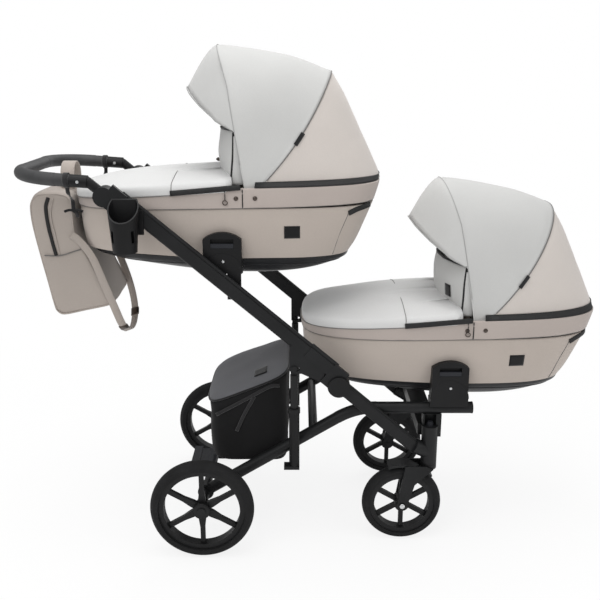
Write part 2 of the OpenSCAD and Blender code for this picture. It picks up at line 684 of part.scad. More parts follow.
module lower_adapters() {
  color("#222326") for (s = [-1, 1]) side(s) difference() {
    translate([cot_x + cot_step_x, 0, cot_z - cot_step_z])
      adapter(rail_z + rail_r - wall * 2 - cot_z + cot_step_z, rail_y - rail_r, dome_out_y - gap,
        -dome_w * 0.52, dome_w * 0.52);
    bar([rail_bend_x, rail_y, rail_z], [rail_end_x, rail_y, rail_z], rail_r + fit);
  }
}

module brake_pedal() {
  color("#4a4c50") difference() {
    union() {
      cross_bar(rear_x, rear_r, -pedal_w / 2, pedal_w / 2, beam_r + wall);
      translate([rear_x - pedal_l, -pedal_w * 0.42, rear_r + beam_r * 0.4])
        cube([pedal_l, pedal_w * 0.84, wall * 2]);
      translate([rear_x - pedal_l, -pedal_w * 0.5, rear_r + beam_r * 0.4])
        cube([pedal_l * 0.4, pedal_w, wall * 3]);
    }
    cross_bar(rear_x, rear_r, -pedal_w, pedal_w, beam_r + fit);
  }
}

module swivel_lock(s) {
  color("#3a3c40") side(s) translate([caster_x, caster_y, housing_low_z + housing_h]) {
    translate([0, 0, -knob_l * 0.5]) cylinder(h = knob_l * 0.5 + wall * 3, r = knob_r);
    translate([0, 0, wall * 3]) cylinder(h = wall, r = knob_r * 0.8);
  }
}

module front_fork(s) {
  near = trail - housing_r;
  over = guard_r + guard_t / 2;
  crown_low = front_r + sqrt(over * over - near * near);
  color("#26272a") side(s) translate([0, caster_y, 0]) {
    translate([caster_x, 0, crown_low]) cylinder(h = housing_low_z - gap - crown_low, r = housing_r);
    translate([caster_x, 0, crown_low]) cylinder(h = housing_low_z + stem_l - gap - crown_low, r = stem_r);
    translate([front_x, 0, front_r]) rotate([90, 0, 0]) rotate([0, 0, 48])
      rotate_extrude(angle = 62, $fn = 72) translate([guard_r, -guard_w / 2]) square([guard_t, guard_w]);
    for (h = [-1, 1]) {
      plate_y(h * fork_y - leg_plate_t / 2, h * fork_y + leg_plate_t / 2) {
        translate([front_x, front_r]) circle(r = fork_end_r);
        polygon([[front_x - fork_end_r * 0.95, front_r + fork_end_r * 0.3],
          [front_x + fork_end_r * 0.95, front_r - fork_end_r * 0.3],
          [front_x + fork_end_r * 2.3, front_r + fork_end_r * 4.4],
          [caster_x + housing_r * 0.5, crown_low + wall],
          [caster_x - housing_r * 0.4, housing_low_z - wall],
          [front_x + fork_end_r * 0.4, housing_low_z - wall]]);
      }
    }
    cross_bar(front_x, front_r, -fork_y - leg_plate_t, fork_y + leg_plate_t, axle_r);
  }
}

module front_tyre(s) {
  color("#1a1a1b") side(s) translate([front_x, caster_y, front_r]) tyre(front_r, front_w, front_tyre_h);
}

module front_rim(s) {
  color("#2a2b2d") side(s) translate([front_x, caster_y, front_r])
    rim(front_r - front_tyre_h - fit, front_spoke_w, front_spoke_w);
}

module rear_tyre(s) {
  color("#1a1a1b") side(s) translate([rear_x, rear_y, rear_r]) tyre(rear_r, rear_w, rear_tyre_h);
}

module rear_rim(s) {
  color("#2a2b2d") side(s) translate([rear_x, rear_y, rear_r])
    rim(rear_r - rear_tyre_h - fit, spoke_foot_w, spoke_tip_w);
}

// The basket's levels: height, half length, width
basket_shares = [[0, 0.44, 0.93], [0.05, 0.485, 0.985], [0.3, 0.5, 1]];

module basket_body() {
  basket_loops();
  color("#161618") loft(concat(
    [for (r = basket_shares) basket_ring(basket_z + r[0] * basket_h, 0, r[1], r[2], 0)],
    [basket_ring(basket_top_z, basket_slope, 0.5, 1, 0)],
    [basket_ring(basket_top_z, basket_slope, 0.5, 1, wall)],
    [basket_ring(basket_z + basket_h * 0.05, 0, 0.48, 0.97, wall)],
    [basket_ring(basket_z + wall, 0, 0.43, 0.92, wall)]));
}

// Webbing loops that hang the basket on the lower tubes
module basket_loops() {
  color("#161618") for (s = [-1, 1], x = loop_shares) side(s) difference() {
    union() {
      bar(rail_point(x * rear_x - loop_w / 2), rail_point(x * rear_x + loop_w / 2), rail_r + wall);
      translate([x * rear_x - loop_w / 2, basket_w * 0.46, rail_point(x * rear_x)[2] - wall])
        cube([loop_w, rail_y - rail_r - basket_w * 0.46, wall * 2]);
    }
    bar(rail_point(x * rear_x - loop_w), rail_point(x * rear_x + loop_w), rail_r - bend_step + soft_gap);
  }
}

// A point on the lower tube's middle line
function rail_point(x) = [x, rail_y, rail_turn_z - (rail_turn_x - x) * tan(rail_slope)];

function basket_ring(z, slope, half, wide, inset) = [for (p = outline(0, 0, 0, -half * basket_l + inset,
  half * basket_l - inset, 0, wide * basket_w / 2 - inset, 5, 5)) [basket_x + p[0], p[1], z + slope * p[0]]];

module basket_lid() {
  color("#62646a") loft([
    basket_ring(basket_top_z + soft_gap, basket_slope, 0.49, 0.98, 0),
    basket_ring(basket_top_z + wall * 1.3, basket_slope, 0.505, 1, 0),
    basket_ring(basket_top_z + wall * 2.6, basket_slope, 0.495, 0.98, 0),
    basket_ring(basket_top_z + wall * 3.8, basket_slope, 0.40, 0.8, 0),
    basket_ring(basket_top_z + wall * 4.6, basket_slope, 0.2, 0.4, 0)]);
}

// The bag's side outline, as shares of its height
bag_shares = [
  [-0.241, 0.493], [-0.285, 0.44], [-0.296, 0.37], [-0.287, 0.24], [-0.25, 0.02], [-0.207, -0.206],
  [-0.165, -0.43], [-0.143, -0.478], [-0.087, -0.499], [0.09, -0.462], [0.262, -0.425], [0.293, -0.405],
  [0.292, -0.372], [0.239, -0.247], [0.141, -0.04], [0.07, 0.1], [0.038, 0.2], [0.031, 0.40],
  [0.01, 0.475], [-0.05, 0.5], [-0.15, 0.505]];
bag_level_shares = [
  [0.5, 0.93], [0.485, 0.97], [0.44, 0.995], [0.3, 1], [-0.3, 1], [-0.44, 0.995], [-0.485, 0.97], [-0.5, 0.93]];

module bag_body() {
  bag_loop();
  color("#a99f97") loft([for (l = bag_level_shares)
    [for (p = bag_shares) [bag_x + p[0] * l[1] * bag_h, l[0] * bag_w, bag_z + p[1] * l[1] * bag_h]]]);
}

module bag_clips() {
  color("#141415") for (s = [-1, 1]) side(s) {
    translate([hang_x, arm_y, hang_z - clip_drop]) rotate([0, arm_tilt + 90, 0]) difference() {
      translate([0, 0, -clip_w / 2]) cylinder(h = clip_w, r = grip_r + wall * 2);
      translate([0, 0, -clip_w]) cylinder(h = clip_w * 2, r = grip_r + wall);
    }
    bar([hang_x, arm_y, hang_z - clip_drop - grip_r - wall * 1.5],
      [hang_x, strap_y, bag_z + bag_h * 0.38], wall);
    bar([hang_x, strap_y, bag_z + bag_h * 0.39], [bag_x, strap_y, bag_z + bag_h * 0.3], wall);
  }
}

module bag_loop() {
  color("#b5aba3") translate([bag_x + bag_h * -0.04, 0, bag_z + bag_h * 0.5035]) rotate([90, 0, 90])
    translate([0, 0, -loop_strap_w / 2]) linear_extrude(loop_strap_w) difference() {
      loop_outline(loop_half);
      loop_outline(loop_half - wall);
    }
}

// The outline of the bag's carry loop: two legs and a round top
module loop_outline(half) {
  translate([-half, 0]) square([half * 2, loop_h - loop_half]);
  translate([0, loop_h - loop_half]) circle(r = half);
}

// Cot pieces, drawn about the cot's own origin

module cot_tray() {
  color("#2f3033") loft(concat([for (r = tray_out_shares) level(r, tray_tail_slope * r[0] / 0.232, 0)],
    [for (r = tray_in_shares) level(r, tray_tail_slope * r[0] / 0.232, 0)]));
}

module cot_sides() {
  color("#b0a69e") band(concat([for (i = [0:3]) level(side_out_shares[i], side_tail_slopes[i], 0)],
    [for (i = [0:2]) level(side_in_shares[i], side_tail_slopes[i == 0 ? 3 : i == 1 ? 1 : 0], 0)]));
}

module cot_rim() {
  color("#cabfb8") band(concat([for (i = [0:3]) level(rim_out_shares[i], rim_tail_slopes[i], rim_slope_head)],
    [for (i = [0:1]) level(rim_in_shares[i], rim_tail_slopes[i == 0 ? 3 : 0], rim_slope_head)]));
}

module cot_apron() {
  cot_flap();
  z = rim_out_shares[3][0] * cot_h;
  color("#dcdcdd") loft([for (r = apron_shares) apron_ring(r[0], z + r[1] * cot_h)]);
}

// The collar flap's front, in plan
function flap_front(y) = (flap_mid_share + flap_bow_share * pow(min(1, abs(y) / flap_half), 2)) * cot_l;

// The rim's outline behind its middle, shrunk by a share, and closed along the collar flap
function apron_ring(share, z) = let (row = rim_out_shares[2], ring = level(row, 0, 0),
  xm = (row[1] + flap_mid_share) * cot_l / 2, edge = row[3] * cot_w * share)
  [for (p = concat(
    [for (i = [ring_n / 4:ring_n * 3 / 4]) [xm + (ring[i][0] - xm) * share, ring[i][1] * share]],
    [for (j = [0:flap_n]) let (y = (j / flap_n * 2 - 1) * edge) [flap_front(y) + hood_t / 2, y]]))
    [p[0], p[1], z + rim_slope_tail * p[0]]];

// The collar flap stands upright across the apron's head end, its two sides leaning back to the bow
module cot_flap() {
  low = cot_h * 0.985;
  high = cot_h * flap_high_share;
  color("#cfcfd0") loft([for (i = [0:flap_n]) let (u = i / flap_n * 2 - 1, y = u * flap_half,
    x = flap_front(y), back = flap_back * u * u * (high - low))
    [[x + hood_t, y, low], [x, y, low], [x + back, y, high], [x + back + hood_t, y, high]]]);
}

module cot_mattress() {
  color("#e9e7e3") loft([for (r = pad_shares) level(r, pad_tail_slope * r[0] / 0.242, 0)]);
}

module cot_fittings() {
  cot_hood_pins();
  color("#1d1e20") for (s = [-1, 1]) side(s) difference() {
    intersection() {
      plate_y(0, dome_out_y) {
        intersection() {
          translate([-dome_w / 2, dome_low]) square([dome_w, dome_top - dome_low]);
          translate([0, dome_top - dome_arc_r]) circle(r = dome_arc_r, $fn = 96);
        }
      }
      translate([-dome_w, 0, 0]) rotate([90, 0, 90]) linear_extrude(dome_w * 2)
        polygon(concat([for (p = dome_back_shares) [p[0] * cot_w, p[1] * cot_h]],
          [[cot_w, dome_back_shares[4][1] * cot_h], [cot_w, 0], [dome_back_shares[0][0] * cot_w, 0]]));
    }
    plate_y(dome_cut_y, dome_out_y * 2) translate([0, seat_z]) circle(r = seat_r, $fn = 72);
    plate_y(dome_cut_y, dome_out_y * 2) translate([-lever_w / 2 - gap, lever_z - gap])
      square([lever_w + gap * 2, lever_h + lever_go + gap * 2]);
  }
}

module cot_levers() {
  color("#35373b") for (s = [-1, 1]) side(s) plate_y(dome_cut_y + gap, dome_out_y - gap)
    translate([-lever_w / 2, lever_z]) square([lever_w, lever_h]);
}

module cot_hood_pins() {
  color("#8d8f92") for (s = [-1, 1]) side(s)
    cross_bar(pivot_x, pivot_z, bow_w - bow_t - wall, rim_in_shares[1][3] * cot_w - soft_gap, hood_pin_r);
}

module cot_hood_rear() {
  color("#cfc5be") sheet([for (i = [0:len(rear_angles) - 1])
    arch(rear_angles[i], rear_shares[i] * hood_h, hood_w, hood_t, 2.6, arch_n)]);
}

module cot_hood_front() {
  color("#dfdfe0") sheet([for (i = [0:len(hood_angles) - 1])
    arch(hood_angles[i], hood_shares[i] * hood_h, hood_w, hood_t, 1, arch_n)]);
}

module cot_bow() {
  color("#3a3b3e") difference() {
    union() {
      sheet([for (a = bow_angles) arch(a, bow_share * hood_h, bow_w, bow_t, 0.4, arch_n)]);
      for (s = [-1, 1]) side(s) cross_bar(pivot_x, pivot_z, bow_w - bow_t, bow_w, boss_r);
    }
    cross_bar(pivot_x, pivot_z, -cot_w, cot_w, hood_pin_r + fit);
  }
}

function visor_point(i, f, inset) = let (k = i <= visor_n / 2 ? i : visor_n - i,
  p = arch_point(hood_angles[0] + 0.1, hood_h - inset, hood_w - inset,
    visor_turn + (180 - 2 * visor_turn) * i / visor_n))
  [p[0] - visor_shares[k] * hood_h * pow(f, 0.85), p[1],
    p[2] - visor_drop_shares[k] * hood_h * pow(f, 1.6)];

module cot_visor() {
  cot_bow();
  color("#dfdfe0") sheet([for (f = [1, 0.8, 0.6, 0.4, 0.2, 0]) concat(
    [for (i = [0:visor_n]) visor_point(i, f, 0)],
    [for (i = [visor_n:-1:0]) visor_point(i, f, hood_t)])]);
}

module at_upper() {
  translate([cot_x, 0, cot_z]) children();
}

module at_lower() {
  translate([cot_x + cot_step_x, 0, cot_z - cot_step_z]) children();
}

lower_tube(-1);  // lower_tube_right
lower_tube(1);  // lower_tube_left
end_caps();
front_leg(-1);  // front_leg_right
front_leg(1);  // front_leg_left
rear_axle();
cross_members();
strut_sleeve(-1);  // strut_sleeve_right
strut_sleeve(1);  // strut_sleeve_left
lower_adapters();
basket_body();
basket_lid();
strut_rod(-1);  // strut_rod_right
strut_rod(1);  // strut_rod_left
push_tube(-1);  // push_tube_right
push_tube(1);  // push_tube_left
upper_adapters();
cup_holder();
handle_end(-1);  // handle_end_right
handle_end(1);  // handle_end_left
handle_bar();
handle_rivets();
handle_button(-1);  // handle_button_right
handle_button(1);  // handle_button_left
bag_body();
bag_clips();
brake_pedal();
swivel_lock(-1);  // swivel_lock_right
swivel_lock(1);  // swivel_lock_left
front_fork(-1);  // front_fork_right
front_fork(1);  // front_fork_left
front_tyre(-1);  // front_tyre_right
front_tyre(1);  // front_tyre_left
front_rim(-1);  // front_rim_right
front_rim(1);  // front_rim_left
rear_tyre(-1);  // rear_tyre_right
rear_tyre(1);  // rear_tyre_left
rear_rim(-1);  // rear_rim_right
rear_rim(1);  // rear_rim_left
at_upper() cot_tray();  // upper_tray
at_upper() cot_sides();  // upper_sides
at_upper() cot_rim();  // upper_rim
at_upper() cot_apron();  // upper_apron
at_upper() cot_mattress();  // upper_mattress
at_upper() cot_fittings();  // upper_fittings
at_upper() cot_levers();  // upper_levers
at_upper() cot_hood_rear();  // upper_hood_rear
at_upper() cot_hood_front();  // upper_hood_front
at_upper() cot_visor();  // upper_visor
at_lower() cot_tray();  // lower_tray
at_lower() cot_sides();  // lower_sides
at_lower() cot_rim();  // lower_rim
at_lower() cot_apron();  // lower_apron
at_lower() cot_mattress();  // lower_mattress
at_lower() cot_fittings();  // lower_fittings
at_lower() cot_levers();  // lower_levers
at_lower() cot_hood_rear();  // lower_hood_rear
at_lower() cot_hood_front();  // lower_hood_front
at_lower() cot_visor();  // lower_visor
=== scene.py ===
"""Looks of a twin pram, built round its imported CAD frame.

Metres, +X to the front, +Y to the pram's left, +Z up. The camera looks along +Y at the right side.
Soft goods repeat the CAD's own levels and shares, with many more points, and replace its solids.
"""

import json
import math

import bpy
import numpy as np
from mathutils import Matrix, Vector, noise


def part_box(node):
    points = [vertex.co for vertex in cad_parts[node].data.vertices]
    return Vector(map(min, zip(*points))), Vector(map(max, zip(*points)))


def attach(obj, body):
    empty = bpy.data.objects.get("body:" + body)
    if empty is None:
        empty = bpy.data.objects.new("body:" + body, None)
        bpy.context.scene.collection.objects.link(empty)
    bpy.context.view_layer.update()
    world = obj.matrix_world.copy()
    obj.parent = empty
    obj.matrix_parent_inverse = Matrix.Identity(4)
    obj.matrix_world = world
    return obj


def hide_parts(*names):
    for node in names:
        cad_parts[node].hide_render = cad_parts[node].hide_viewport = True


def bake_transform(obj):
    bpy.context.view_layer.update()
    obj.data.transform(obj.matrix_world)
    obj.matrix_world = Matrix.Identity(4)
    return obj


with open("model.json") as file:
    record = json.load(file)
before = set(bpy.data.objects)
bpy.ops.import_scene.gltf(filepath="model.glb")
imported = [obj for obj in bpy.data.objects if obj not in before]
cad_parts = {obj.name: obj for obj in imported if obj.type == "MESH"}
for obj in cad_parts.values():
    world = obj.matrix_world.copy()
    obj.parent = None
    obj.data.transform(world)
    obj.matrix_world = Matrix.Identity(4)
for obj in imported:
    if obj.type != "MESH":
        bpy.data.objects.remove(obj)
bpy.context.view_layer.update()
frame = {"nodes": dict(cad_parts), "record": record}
scene = bpy.context.scene
nodes = frame["nodes"]

# Camera, light and stage

CAMERA_AT = (-0.0375, -2.300, 1.324)
CAMERA_PITCH = 16.0
CAMERA_LENS = 48.5
SENSOR = 36.0
FAR_CLIP = 100
AMBIENT = 0.50
FLOOR_HALF = 30
FLOOR_FADE = {"From_Min": 0.5, "From_Max": 2.2, "To_Min": 0.84, "To_Max": 1.0}
LAMPS = (  # name, place, aim, size, watts
    ("key", (-1.5, -2.6, 3.2), (0, 0, 0.7), 2.6, 38),
    ("fill", (2.6, -2.0, 1.9), (0.1, 0, 0.7), 2.4, 15),
    ("top", (-0.3, -0.2, 3.6), (0, 0, 0.8), 2.4, 52),
    ("back", (0.6, 2.8, 2.8), (0, 0, 0.8), 2.4, 24),
)

# Sizes that the CAD source gives, in metres

SIDES = ((-1, "right"), (1, "left"))
EVEN = (1, 1, 1)
COT_L, COT_W, COT_H = 0.834, 0.418, 0.254
COTS = {"upper": (-0.2435, 0.773), "lower": (0.3785, 0.412)}
TAIL_POWER, HEAD_POWER = 3.0, 3.4
HOOD_H, HOOD_W, HOOD_POWER = 0.404, 0.462 * COT_W, 2.7
PIVOT_X, PIVOT_Z = 0.079 * COT_L, 0.854 * COT_H
BAR = (-0.788, 1.058)
BAG_W = 0.230
BAG_H = 1.522 * BAG_W
BAG_X, BAG_Z = BAR[0] + 0.3314 * BAG_H, BAR[1] - 0.6659 * BAG_H
BASKET_W, BASKET_L, BASKET_Z = 0.340, 0.232, 0.243
BASKET_H = 0.59 * BASKET_W
BASKET_X, BASKET_SLOPE, BASKET_POWER = -0.310 + 0.53 * BASKET_L, 0.4, 5
BASKET_TOP = BASKET_Z + BASKET_H

# Levels of the cot: height, tail end, head end and half width, as shares of COT_H, COT_L, COT_L, COT_W.
# A TAIL or HEAD value is the rise of a level towards that end, per metre.

TRAY_OUT = [(0, 0.03, 0.10, 0.15), (0.024, -0.049, 0.204, 0.26), (0.067, -0.19, 0.313, 0.32),
            (0.165, -0.42, 0.40, 0.392), (0.232, -0.468, 0.414, 0.42)]
TRAY_IN = [(0.232, -0.458, 0.404, 0.402), (0.165, -0.405, 0.385, 0.37), (0.10, -0.2, 0.32, 0.31)]
TRAY_TAIL = -0.044
TRAY_CREASE, CREASE_TAIL = (0.150, -0.388, 0.3895, 0.3825), TRAY_TAIL * 0.65
SIDE_OUT = [(0.2345, -0.474, 0.416, 0.427), (0.36, -0.481, 0.439, 0.449),
            (0.56, -0.486, 0.465, 0.474), (0.78, -0.489, 0.492, 0.491)]
SIDE_IN = [(0.78, -0.477, 0.48, 0.470), (0.36, -0.469, 0.427, 0.427), (0.2345, -0.462, 0.404, 0.408)]
SIDE_TAIL = [-0.044, -0.02, 0.005, 0.017]
RIM_OUT = [(0.7825, -0.491, 0.494, 0.494), (0.80, -0.494, 0.498, 0.5),
           (0.96, -0.494, 0.512, 0.5), (0.984, -0.490, 0.509, 0.495)]
RIM_IN = [(0.984, -0.480, 0.497, 0.476), (0.7825, -0.478, 0.481, 0.471)]
RIM_TAIL, RIM_HEAD, RIM_TALL = [0.017, 0.018, 0.066, 0.069], 0.019, 0.2
RIM_TOP = RIM_OUT[3][0] * COT_H
RIM_SEAM = (0.7825, -0.492, 0.495, 0.4965)
PAD = [(0.1025, -0.19, 0.31, 0.295), (0.17, -0.39, 0.37, 0.355), (0.242, -0.452, 0.398, 0.393),
       (0.36, -0.452, 0.398, 0.393), (0.40, -0.435, 0.383, 0.373)]
PAD_TAIL = -0.04
RING = 192

# Apron: shares of the rim's outline and heights over the rim; collar flap

APRON = [(1.005, -0.036), (1.011, -0.008), (1.004, 0.045), (0.965, 0.082), (0.86, 0.105),
         (0.62, 0.14), (0.3, 0.165), (0.06, 0.17)]
APRON_COUNT, APRON_TOP_RINGS = 80, 6
APRON_EDGE, APRON_SEAM_X = (1.009, -0.030), -0.128
APRON_SEAM_CLEAR, APRON_SEAM_OUT = 0.004, 0.0003
APRON_ZIP_X, APRON_ZIP_OUT, APRON_ZIP_RISE = (-0.131, 0.052), 0.0052, (0.0005, 0.02)
FLAP_MID, FLAP_BOW, FLAP_HALF = -0.0168 * COT_L, 0.0468 * COT_L, 0.9 * HOOD_W
FLAP_BACK, FLAP_LOW, FLAP_HIGH = 0.06, 0.985 * COT_H, 1.56 * COT_H
FLAP_PUFF, FLAP_GAP, FLAP_PIPING_SHIFT = 0.007, 0.0012, (0.001, 0, 0)
FLAP_STUD, FLAP_STUD_SIZE = (-0.0195, -0.012, 0.306), (0.0052, 0.0100)
FLAP_PATCH_U, FLAP_PATCH_V, FLAP_PATCH_OUT = (-0.74, -0.58), (0.33, 0.56), 0.0030
GUSSET_BACK, GUSSET_INSET, GUSSET_FOLD, GUSSET_TURNS = 1.6, (0.010, 0.012), 0.003, (4, 20)

# Hood: angles over the pivots, in degrees, with radii as shares of HOOD_H. A turn runs along an arch, 0 to 180.

HOOD_ANGLES, HOOD_SHARES = [99.5, 92, 84, 76, 66, 57], [1, 0.97, 0.952, 0.946, 0.958, 0.985]
HOOD_FOOT, HOOD_EASE = 1, 0.35
REAR_ANGLES = [56.7, 48, 40, 33, 27, 17, 6.8]
REAR_SHARES = [0.98, 0.934, 0.896, 0.876, 0.869, 0.878, 0.908]
REAR_ROWS, REAR_FOOT = ((56.7, 30, 22), (28.5, 6.8, 20)), 2.6
VISOR = [0.004, 0.028, 0.054, 0.078, 0.095, 0.113, 0.13, 0.155, 0.18, 0.204, 0.226, 0.244, 0.254]
VISOR_DROP = [0.01, 0.075, 0.135, 0.185, 0.222, 0.258, 0.286, 0.301, 0.305, 0.303, 0.296, 0.28, 0.27]
VISOR_TURN, VISOR_GAP, VISOR_ROWS = 20.5, 0.1, 12
VISOR_EASE, VISOR_LEAD = (0.9, 1.25), 0.98
SEAM_BACK, BOW_FORE, BOW_SPAN = (1.5, 12.5), 2.4, 0.55
BOW_ANGLE, BOW_SHARE, BOW_INSET, BOW_R = 97.2, 0.965, 0.008, 0.0042
BOW_TURNS, BOW_SEAM_TURNS, REAR_SEAM_TURNS = (0.6, 179.4, 73), (8, 172, 90), (6, 174, 90)
BOSS_INSET, BOSS_R = (0.0115, 0.004), 0.017
BOW_SEAM_ANGLE, BOW_SEAM_OUT = 99.4, 0.0006
HEM_SHIFT = (0.0005, 0, 0.0008)
REAR_SEAM_ANGLE, REAR_SEAM_SHARE, REAR_SEAM_OUT = 56.85, 0.983, 0.0008
TAB_FOOT, TAB_LONG, TAB_OUT = {"upper": 21.8, "lower": 18.0}, 6.2, 0.0030
REAR_ZIP_HIGH, REAR_ZIP_LEAST, REAR_ZIP_X = 0.0135, 0.020, 0.090
REAR_ZIP_OUT, REAR_ZIP_CENTRE, REAR_ZIP_FLAT = 0.0016, 0.10, 0.2
REAR_ZIP_CLEAR, REAR_ZIP_SHRINK = 0.0005, 0.996
REAR_ZIP_TURNS, REAR_ZIP_ANGLES = (7, 173, 120), (54, 5.2, 90)

# Trim of the cot: x in metres, height as a share of COT_H

SPLIT_X, SPLIT_SHARES, SPLIT_OUT = 0.0565, (0.79, 0.975), 0.0006
SNAP_X, SNAP_SHARE, SNAP_SIZE = (0.0395, 0.089), 0.885, (0.0060, 0.0036)
PULL_X = {"upper": 0.011, "lower": 0.041}
PULL_SHARE, PULL_OUT, PULL_SIZE = 0.845, 0.004, (0.0062, 0.0013)
PULL_TAB_SHARES, PULL_TAB_OUT = (0.865, 0.975), 0.003
PATCH_X, PATCH_SHARES, PATCH_OUT = (0.164, 0.206), (0.455, 0.59), 0.0014
VENT, VENT_OUT = [(0.336, 0.705), (0.360, 0.742), (0.384, 0.760), (0.398, 0.764)], 0.0035
DART, DART_OUT = [(0.336, 0.705), (0.327, 0.62), (0.311, 0.46), (0.299, 0.30), (0.295, 0.245)], 0.0004

# Radii of threads and piping, widths and depths of tapes, and walls of cloth

SEAM_R, EDGE_R, HEM_R = 0.0011, 0.0012, 0.0016
FLAP_PIPING_R, BAG_PIPING_R, LID_PIPING_R = 0.0030, 0.0020, 0.0032
VENT_ZIP, APRON_ZIP, BAG_ZIP = (0.0145, 0.0024), (0.0145, 0.0030), (0.0100, 0.0046)
SEAM_TAB, BAG_BAND, BAG_WEB = (0.012, 0.0022), (0.013, 0.0018), (0.011, 0.0022)
SLING_TAPE, SLING_SLIDE, BASKET_TAPE = (0.022, 0.0020), (0.027, 0.0050), (0.010, 0.0034)
FLAP_WALL, HOOD_WALL, GUSSET_WALL = 0.004, 0.0022, 0.0015
PATCH_WALL, STIFF_PATCH_WALL, ZIP_WALL = 0.0008, 0.0012, 0.0012

# Bag: points are shares of BAG_H, from the middle of the bag

BAG_OUTLINE = [(-0.241, 0.493), (-0.285, 0.44), (-0.296, 0.37), (-0.287, 0.24), (-0.25, 0.02),
               (-0.207, -0.206), (-0.165, -0.43), (-0.143, -0.478), (-0.087, -0.499), (0.09, -0.462),
               (0.262, -0.425), (0.293, -0.405), (0.292, -0.372), (0.239, -0.247), (0.141, -0.04), (0.07, 0.1),
               (0.038, 0.2), (0.031, 0.40), (0.01, 0.475), (-0.05, 0.5), (-0.15, 0.505)]
BAG_HALF = [(0.5, 0.0), (0.5, 0.5), (0.5, 0.90), (0.4985, 0.93), (0.49, 0.965), (0.47, 0.985), (0.44, 0.995),
            (0.3, 1.0), (0.15, 1.0)]  # distance from the middle as a share of BAG_W, scale of the outline there
BAG_EDGE, BAG_EDGE_SCALE, BAG_FACE_OUT = 0.4905, 0.966, 0.0022
BAG_OPENING = [(-0.138, 0.462), (-0.163, 0.385), (-0.158, 0.255), (-0.138, 0.128), (-0.114, 0.004)]
BAG_HEM = [(-0.102, 0.455), (-0.130, 0.319), (-0.105, 0.144), (-0.085, 0.010)]
BAG_POCKET = [(-0.205, 0.004), (-0.085, 0.002), (0.044, 0.040), (0.085, 0.052)]
LOOP_HALF, LOOP_TOP, LOOP_FOOT, LOOP_X, LOOP_THICK = 0.11, 0.21, 0.5, -0.04, 0.0030
SLING = [(0.020, 0.170, 1.0), (0.085, 0.115, 1.0), (0.175, -0.010, 1.04), (0.258, -0.230, 1.05),
         (0.318, -0.420, 0.98), (0.356, -0.580, 0.80), (0.372, -0.672, 0.44)]  # x, z, share of the half width
SLING_LOW, SLING_OUT, SLING_COUNT = (0.376, -0.704), 0.0035, 120
SLING_FACE, SLIDE_AT, SLIDE_ROWS = (0.35, 0.6, 0.9), {"right": 44, "left": 71}, 5

# Bands round the handle arms: place and radius of a band, then its toggle's place and shape

CLIP_X, CLIP_Y, CLIP_Z, CLIP_R = -0.638, 0.217, 1.0472, 0.0190
HOOK_AT, HOOK_OUT = (0.068, 0.372), 0.022
WEB_BEND, WEB_END = (0.001, 0.012, 0.020), (0.004, 0.030)
TOGGLE = [(-0.025, -0.003), (-0.012, 0.001), (0, 0), (0.012, 0.001), (0.025, -0.003)]
TOGGLE_R = 0.0036
TAIL_BEND, TAIL_AT, TAIL_OUT = (0.004, 0.010, -0.008), (0.08, 0.31), 0.001

# Basket: height as a share of BASKET_H, or in metres over the top for the lid, then half length as a share of
# BASKET_L and width as a share of BASKET_W

BASKET_LEVELS = [(-0.09, 0.42, 0.90, -0.03), (-0.04, 0.48, 0.975, -0.02), (0.3, 0.5, 1, 0),
                 (0.65, 0.492, 0.992, 0.2), (1, 0.5, 1, 0.4)]  # with the slope of each level
BASKET_FLOOR = (-0.11, -0.04, 0.2, 0.4)
BASKET_MOUTH = [(0, 0.49, 0.98), (-0.03, 0.48, 0.96)]
LID = [(0.0012, 0.488, 0.976), (0.0052, 0.503, 0.996), (0.0095, 0.497, 0.984), (0.0150, 0.45, 0.90),
       (0.0215, 0.30, 0.60), (0.0240, 0.06, 0.12)]
LID_EDGE = (0.0046, 0.507, 1.004)
LID_PATCH_X, LID_PATCH_Y, LID_PATCH_OUT = (0.018, 0.054), (-0.128, -0.074), 0.0004
BASKET_TAPES = [[(-0.090, 0.76), (-0.02, 0.87), (0.060, 0.975), (0.092, 0.955)],
                [(0.020, 0.90), (-0.010, 0.66), (-0.032, 0.42)]]
BASKET_TAPE_OUT, BASKET_TAPE_SLOPE = 0.0028, 0.8

# Screws and bolts: radius and height

ADAPTER_SCREW, ADAPTER_SCREW_AT, ADAPTER_FACE = (0.0036, 0.0016), (0.002, 0.058), 0.0042
AXLE_BOLT, AXLE_BOLT_SUNK = (0.0075, 0.0045), 0.0004
HUB_CAP, HUB_CAP_SUNK = (0.0235, 0.0045), 0.0035

# Waves in the cloth: depth in metres, waves per metre, seed, stretch of the pattern along each axis

COT_SEED = {"upper": 3.0, "lower": 11.0}
WAVES = {
    "sides": (0.0016, 9.0, 0, (1, 1, 0.6)),
    "rim": (0.0012, 14.0, 2, EVEN),
    "apron": (0.005, 7.0, 5, (0.7, 1.2, 1)),
    "flap": (0.0035, 15.0, 8, EVEN),
    "hood_front": (0.006, 6.5, 20, (1, 0.8, 1)),
    "hood_rear": (0.0028, 7.0, 31, EVEN),
    "bag": (0.004, 9.0, 41.0, EVEN),
    "basket": (0.007, 11.0, 52.0, (1.6, 1.6, 0.5)),
    "lid": (0.004, 9.0, 57.0, EVEN),
}


# Materials


def shader(name, color, roughness, metallic=0.0, sheen=0.0, specular=0.5):
    """A new material with its Principled shader set, and that shader."""
    mat = bpy.data.materials.new(name)
    mat.use_nodes = True
    bsdf = mat.node_tree.nodes["Principled BSDF"]
    for key, value in (("Base Color", (*color, 1)), ("Roughness", roughness), ("Metallic", metallic),
                       ("Specular IOR Level", specular), ("Sheen Weight", sheen), ("Sheen Roughness", 0.5)):
        bsdf.inputs[key].default_value = value
    return mat, bsdf


def add(mat, kind, **values):
    """A node of that kind, with its named inputs set."""
    node = mat.node_tree.nodes.new(kind)
    for key, value in values.items():
        node.inputs[key.replace("_", " ")].default_value = value
    return node


